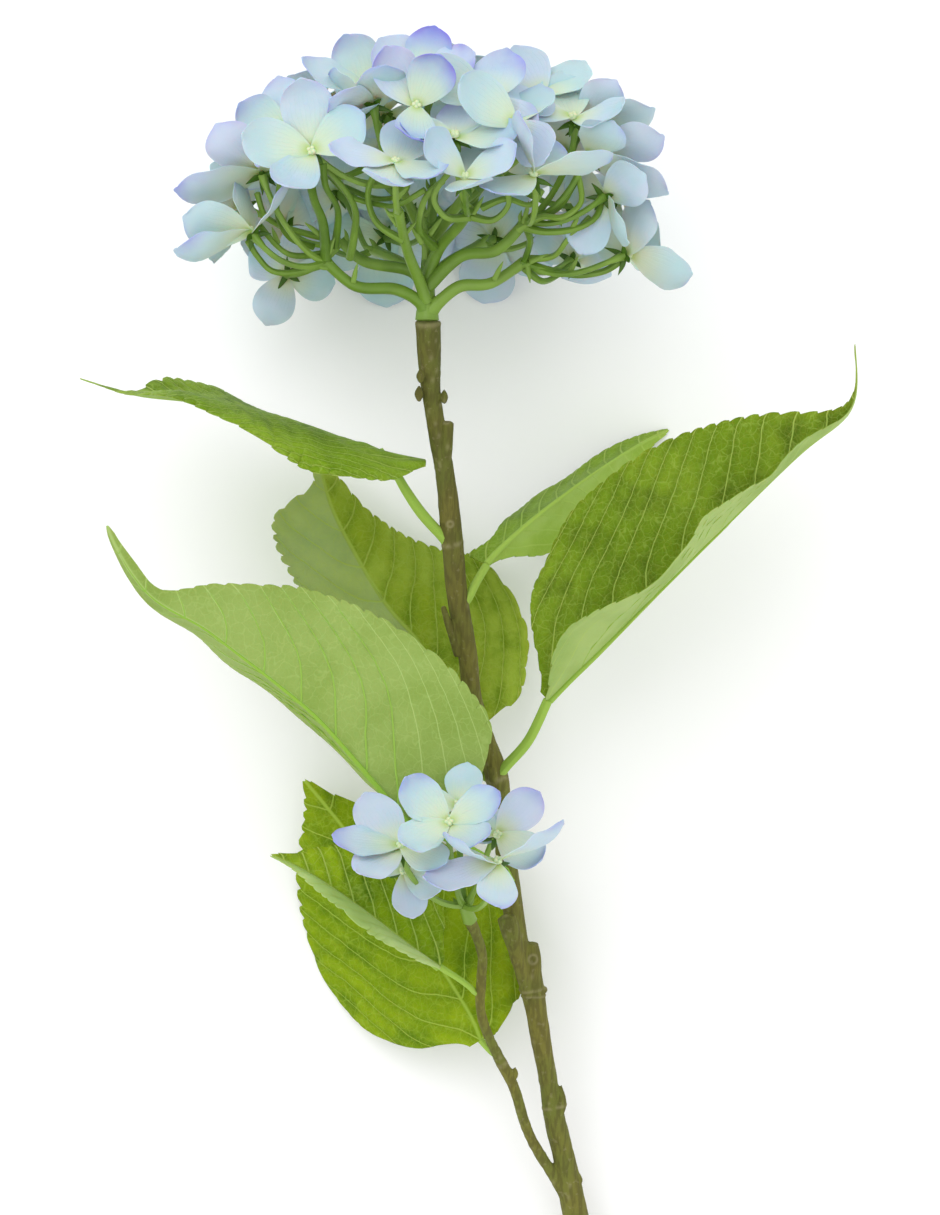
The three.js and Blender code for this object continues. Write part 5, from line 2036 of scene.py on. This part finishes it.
@dataclass
class BloomStalks:
    """The branches and floret stalks under one bloom.

    Attributes:
        node: The solid that they stand for.
        florets: The florets that they carry.
        branches: Stations of each branch, in the object's frame.
        knots: Ends of the branches, where the floret stalks start.
        loops: Stations of the thin stalks that wind between branches and florets.
        sprigs: Foot and reach of each small pointed bract.
    """

    node: str
    florets: list[Floret]
    branches: list[np.ndarray]
    knots: np.ndarray
    loops: list[np.ndarray] = field(default_factory=list)
    sprigs: list[tuple[np.ndarray, np.ndarray]] = field(default_factory=list)
    draft: MeshDraft = field(default_factory=lambda: MeshDraft((), ("young", "calyx")))

    def build(self) -> None:
        """Collects branches, loops, stalks, bracts and calyxes."""
        for index, loop in enumerate(self.loops):
            young = {"young": 0.15 + 0.75 * chance(index, 60)}
            loop[:, 3] *= STALK.loop_share
            self.draft.tube(smoothed(loop, 7), 9, STALK.ribs, STALK.rib_depth, young)
        for foot, reach in self.sprigs:
            line = [[*foot, 0.9], [*(foot + reach * 0.55), 0.75], [*(foot + reach), 0.1]]
            self._scale(line, {"young": 0.7}, 0.55)
        for index, branch in enumerate(self.branches):
            stations = smoothed(branch, 8)
            slim = between(1.0, STALK.branch_share, ramped(stations[:, 1], *STALK.slimming))
            stations[:, 3] *= slim if len(self.branches) > 1 else 1
            share = np.linspace(0, 1, len(stations))
            stations[:, 3] *= 1 + STALK.knot[0] * np.exp(-(((1 - share) / STALK.knot[1]) ** 2))
            young = 0.25 + 0.6 * chance(index, 50)
            self.draft.tube(stations, 15, STALK.ribs, 0.06, {"young": young})
            self._bracts(stations, index)
        for floret in self.florets:
            self._stalk(floret)
            self._calyx(floret)

    def _scale(self, line: list[list[float]], marks: Marks, flatten: float) -> None:
        """Adds a small pointed leaf, on or above the table.

        Args:
            line: Stations from its foot to its point.
            marks: Its marks.
            flatten: Its thickness, as a share of its breadth.
        """
        stations = smoothed(np.array(line), 4)
        stations[:, 2] = np.maximum(stations[:, 2], stations[:, 3] + STALK.clear)
        self.draft.tube(stations, 8, values=marks, flatten=flatten)

    def _bracts(self, stations: np.ndarray, index: int) -> None:
        """Adds two small pointed bracts at the end of a branch.

        Args:
            stations: Stations of the branch.
            index: Its number.
        """
        end, before = stations[-1], stations[-4]
        ahead = unit(end[:3] - before[:3])
        side = unit(np.cross(ahead, np.array([0.0, 0.3, 1.0])))
        for number in range(2):
            out = turned(side, ahead, 360 * chance(index, 51 + number))
            foot = end[:3] + out * end[3] * 0.6 - ahead * 1.5
            tip = foot + out * 2.6 + ahead * 3.4
            middle = foot + out * 1.7 + ahead * 1.4
            self._scale([[*foot, 0.95], [*middle, 0.7], [*tip, 0.12]], {"young": 0.6}, 0.6)

    def _stalk(self, floret: Floret) -> None:
        """Adds the stalk of a floret.

        Args:
            floret: The floret, to whose back the stalk turns square.
        """
        aim = floret.centre - floret.facing * 10
        gaps = np.linalg.norm(self.knots[:, :3] - aim, axis=1)
        start = self.knots[int(np.argmin(gaps)), :3]
        end = floret.centre - floret.facing * STALK.seat
        reach = float(np.linalg.norm(end - start))
        outward = unit(end - start)
        first = start + outward * reach * 0.4 - np.array([0.0, reach * STALK.sag, 0.0])
        second = end - floret.facing * min(reach * 0.45, STALK.arrive)
        share = np.linspace(0, 1, STALK.steps)[:, None]
        line = start * (1 - share) ** 3 + first * 3 * share * (1 - share) ** 2
        line = line + second * 3 * share**2 * (1 - share) + end * share**3
        share = share[:, 0]
        radii = STALK.middle + (STALK.root - STALK.middle) * np.exp(-((share / 0.15) ** 2))
        radii += (STALK.top - STALK.middle) * ramped(share, 0.86, 1.0)
        line[:, 2] = np.maximum(line[:, 2], radii + 0.1)
        young = 0.2 + 0.7 * chance(floret.number, 52)
        stations = np.column_stack([line, radii])
        self.draft.tube(stations, STALK.sides, STALK.ribs, STALK.rib_depth, {"young": young})

    def _calyx(self, floret: Floret) -> None:
        """Adds five small pointed leaves behind a floret.

        Args:
            floret: The floret.
        """
        facing, first = floret.facing, floret.first
        base = floret.centre - facing * 2.0
        for number in range(5):
            out = turned(first, facing, 72 * number + between(-12, 12, chance(number, 53)))
            long = between(5.0, 7.4, chance(floret.number, number))
            back = between(1.4, 3.6, chance(floret.number, number + 60))
            tip = base + out * long * 0.88 - facing * back
            middle = base + out * 2.8 - facing * back * 0.3
            line = [[*base, 1.0], [*middle, 0.9], [*tip, 0.1]]
            self._scale(line, {"calyx": 0.9, "young": 0.1}, 0.45)

    def dress(self, finish: bpy.types.Material) -> None:
        """Makes the object and gives it its finish."""
        piece = self.draft.finish(self.node + "_ribbed", 60.0)
        hand_over(piece, self.node, finish)


@dataclass
class HydrangeaBlooms:
    """The head, its hidden rear rows and the small side bloom."""

    clusters: list[FloretCluster] = field(default_factory=list)
    stalks: list[BloomStalks] = field(default_factory=list)

    def build(self) -> None:
        """Collects every cluster and the stalks under them."""
        head, side = self._planned(HEAD_FLORETS, 100), self._planned(SIDE_FLORETS, 200)
        head[ROW_PIECE] += Dome().florets()
        for node, florets in {**head, **side}.items():
            slim = {ROW_PIECE: REAR_SLIM}.get(node, SIDE_SLIM if node in side else 1.0)
            self.clusters.append(FloretCluster(node, florets, slim))
        branches = [Eye.line(branch) for branch in HEAD_BRANCHES]
        knots = np.array([branch[-1] for branch in branches])
        foot = Eye.line([HEAD_FOOT, HEAD_BRANCHES[0][0], HEAD_CROWN])
        bract = Eye.line(HEAD_BRACT)
        everyone = [floret for florets in head.values() for floret in florets]
        loops = [Eye.line(loop) for loop in HEAD_LOOPS]
        sprigs = [(Eye.place(*at), np.array(reach, dtype=float)) for at, reach in SPRIGS]
        self.stalks.append(
            BloomStalks("head_stalks", everyone, [foot, *branches, bract], knots, loops, sprigs)
        )
        knot = Eye.line([SIDE_KNOT, SIDE_CROWN])
        some = [floret for florets in side.values() for floret in florets]
        self.stalks.append(BloomStalks("side_bloom_stalks", some, [knot], knot[-1:]))
        for part in (*self.clusters, *self.stalks):
            part.build()

    @staticmethod
    def _planned(plans: dict[str, list[FloretPlan]], first: int) -> dict[str, list[Floret]]:
        """Numbers and places the florets that were planned one by one.

        Args:
            plans: The plans, by the solid that they belong to.
            first: Number of the first floret.

        Returns:
            The florets, by solid.
        """
        numbers = itertools.count(first)
        return {
            node: [Floret.by_hand(plan, next(numbers)) for plan in listed]
            for node, listed in plans.items()
        }

    def dress(self, effects: SharedEffects) -> None:
        """Gives petals and stalks their finishes.

        Args:
            effects: The shared node groups.
        """
        for parts, finish in ((self.clusters, PetalFinish()), (self.stalks, StalkFinish())):
            material = finish.material(effects)
            for part in parts:
                part.dress(material)


@dataclass
class WoodyStem:
    """The barked stem: shoot, cane, side branch, stubs, buds and a slanted cut at the foot.

    Attributes:
        node: The solid that it stands for.
        voxel: Size of the grid that melts its bars together, in mm.
        grain: How far the bark's long ridges stand out, in mm.
        lumps: How far its broad swellings stand out, in mm.
        scar_rim: Height and breadth of the rim round a scar, in mm.
        ring_reach: How far from its middle a ring is looked for, in mm.
        pores: Number of small raised pores.
        pore_rise: Their height, in mm.
    """

    node: str = "stem"
    voxel: float = 0.45
    grain: float = 0.16
    lumps: float = 0.22
    scar_rim: Numbers = (0.24, 0.42)
    ring_reach: float = 8.0
    pores: int = 110
    pore_rise: float = 0.16
    draft: MeshDraft = field(default_factory=MeshDraft)

    def build(self) -> None:
        """Collects the bars and the buds."""
        place = Eye.place(*STEM_CUT[0])
        facing = unit(np.array(STEM_CUT[1]))
        for line in (SHOOT, SIDE_BRANCH, *STUBS):
            self.draft.tube(smoothed(Eye.line(line), 8), 20)
        cane = smoothed(Eye.line(CANE), 8)
        inside = (place - cane[:, :3]) @ facing
        self.draft.tube(cane[inside > 0.5], 24, cut=(place, facing))
        for at, size in BUDS:
            self._bud(Eye.place(*at), size)

    def _bud(self, centre: np.ndarray, size: Numbers) -> None:
        """Adds a bud as a pointed egg.

        Args:
            centre: Its middle.
            size: Its half width, half length and half depth.
        """
        tip = centre + np.array([0.0, size[1] * 1.15, 0.0])
        foot = centre - np.array([0.0, size[1], 0.0])
        wide = (size[0] + size[2]) / 2
        line = [[*foot, wide * 0.4], [*centre, wide * 0.95], [*tip, 0.25]]
        self.draft.tube(smoothed(np.array(line), 6), 12)

    def _melted(self, piece: bpy.types.Object) -> None:
        """Melts the bars into one skin and smooths it.

        Args:
            piece: The object, whose mesh is replaced.
        """
        remesh = piece.modifiers.new("melt", "REMESH")
        remesh.mode = "VOXEL"
        remesh.voxel_size = self.voxel * MM
        smooth = piece.modifiers.new("soften", "SMOOTH")
        smooth.factor = 0.5
        smooth.iterations = 3
        graph = bpy.context.evaluated_depsgraph_get()
        graph.update()
        skin = bpy.data.meshes.new_from_object(piece.evaluated_get(graph))
        piece.modifiers.clear()
        rough = piece.data
        piece.data = skin
        bpy.data.meshes.remove(rough)

    def _weathered(self, piece: bpy.types.Object) -> None:
        """Gives the skin its ridges, rings and pores, and marks scars and the cut.

        Args:
            piece: The object with the melted skin.
        """
        mesh = piece.data
        count = len(mesh.vertices)
        points, normals = np.empty(count * 3, np.float32), np.empty(count * 3, np.float32)
        mesh.vertices.foreach_get("co", points)
        mesh.vertices.foreach_get("normal", normals)
        points = points.reshape(-1, 3).astype(float) / MM
        normals = normals.reshape(-1, 3).astype(float)
        scar = np.zeros(count)
        height = lumpy(points, (0.9, 0.12, 0.9)) * self.grain
        height += lumpy(points, (0.16, 0.09, 0.16)) * self.lumps
        for ring in RINGS:
            gap = points - Eye.place(*ring.at)
            off = np.abs(gap @ unit(np.array(ring.axis)))
            near = np.linalg.norm(gap, axis=1) < self.ring_reach
            broken = ramped(lumpy(points[near], 0.45), -0.5, 0.1)
            rise = np.zeros(count)
            rise[near] = np.exp(-((off[near] / ring.width) ** 2)) * broken
            height += rise * ring.height
            scar = np.maximum(scar, rise * 0.9)
        for at, radius, pit in SCARS:
            gap = np.linalg.norm(points - Eye.place(*at), axis=1)
            rim = np.exp(-(((gap - radius) / self.scar_rim[1]) ** 2))
            height += rim * self.scar_rim[0] - pit * np.exp(-((gap / (radius * 0.75)) ** 2))
            scar = np.maximum(scar, rim)
        for number in range(self.pores):
            spot = points[int(chance(number, 60) * count)]
            gap = np.linalg.norm((points - spot) * (1.0, 0.6, 1.0), axis=1)
            rise = np.exp(-((gap / between(0.35, 0.7, chance(number, 61))) ** 2))
            height += rise * self.pore_rise
            scar = np.maximum(scar, rise * 0.7)
        facing = unit(np.array(STEM_CUT[1]))
        off = (points - Eye.place(*STEM_CUT[0])) @ facing
        cut = ((np.abs(off) < 0.8) & (normals @ facing > 0.75)).astype(float)
        height *= 1 - cut
        points += normals * height[:, None]
        points[:, 2] = np.maximum(points[:, 2], 0)
        mesh.vertices.foreach_set("co", (points * MM).astype(np.float32).ravel())
        old = ramped(points[:, 1], -10, 35) * 0.5 + ramped(-points[:, 1], 30, 95) * -0.3
        old = old + 0.35 * ramped(points[:, 1], -60, -85)
        for name, values in (("scar", scar), ("cut", cut), ("old", np.clip(old, 0, 1))):
            numbered(mesh, name, values)
        mesh.polygons.foreach_set("use_smooth", [True] * len(mesh.polygons))
        mesh.update()

    def dress(self, effects: SharedEffects) -> None:
        """Makes the object and gives it its bark.

        Args:
            effects: The shared node groups.
        """
        piece = self.draft.finish("stem_barked")
        self._melted(piece)
        self._weathered(piece)
        hand_over(piece, self.node, BarkFinish().material(effects))


@dataclass(frozen=True)
class Studio:
    """A plain pale floor, soft light from all round, and a camera straight above.

    Lengths are in metres, apart from the film's, in mm. The floor is the half of its width and
    lies a drop under the table's plane. The frame is the height of what the camera sees on it.
    """

    floor: float = 3.0
    drop: float = 0.0003
    sky: float = 1.12
    lamp: float = 6.5
    lamp_size: float = 1.2
    lamp_at: Numbers = (-0.5, 0.75, 1.4)
    lamp_aim: Numbers = (0, 0.03, 0.05)
    film: float = 36.0
    height: float = 2.06
    up: float = 0.0298
    frame: float = 0.405

    def build(self) -> None:
        """Places floor, lights and camera."""
        self._floor()
        self._lights()
        self._camera()

    def _floor(self) -> None:
        """Lays the floor just under the table's plane."""
        mesh = bpy.data.meshes.new("studio_floor")
        half, low = self.floor, -self.drop
        corners = [(-half, -half, low), (half, -half, low), (half, half, low), (-half, half, low)]
        mesh.from_pydata(corners, [], [(0, 1, 2, 3)])
        finish, bench, shader = Coating("white_table", 0.9, 0.1).started()
        bench.feed(shader.inputs["Base Color"], "#fcfcfc")
        mesh.materials.append(finish)
        floor = linked("studio_floor", mesh)

    def _lights(self) -> None:
        """Fills the room with even light and adds one large soft lamp."""
        world = bpy.data.worlds.new("soft_room")
        world.use_nodes = True
        sky = world.node_tree.nodes["Background"]
        sky.inputs["Color"].default_value = (1.0, 1.0, 1.0, 1.0)
        sky.inputs["Strength"].default_value = self.sky
        bpy.context.scene.world = world
        lamp = bpy.data.lights.new("soft_lamp", "AREA")
        lamp.energy = self.lamp
        lamp.size = self.lamp_size
        holder = linked("soft_lamp", lamp)
        holder.location = self.lamp_at
        aim = Vector(self.lamp_aim) - holder.location
        holder.rotation_euler = aim.to_track_quat("-Z", "Y").to_euler()

    def _camera(self) -> None:
        """Stands the camera above the stem, with the top of the picture up the stem."""
        camera = bpy.data.cameras.new("camera")
        camera.sensor_fit = "VERTICAL"
        camera.sensor_height = self.film
        camera.lens = self.film * Eye.REACH * MM / self.frame
        holder = linked("camera", camera)
        holder.location = (0, self.up, self.height)
        bpy.context.scene.camera = holder
        bpy.context.scene.view_settings.view_transform = "Standard"


def main() -> None:
    """Builds each part of the flower in order and dresses it."""
    logging.basicConfig(level=logging.INFO, format="%(name)s: %(message)s")
    Studio().build()
    effects = SharedEffects()
    stem = WoodyStem()
    stem.build()
    stem.dress(effects)
    for leaf in LEAVES:
        leaf.build()
        leaf.dress(effects)
    blooms = HydrangeaBlooms()
    blooms.build()
    blooms.dress(effects)


if __name__ == "__main__":
    main()
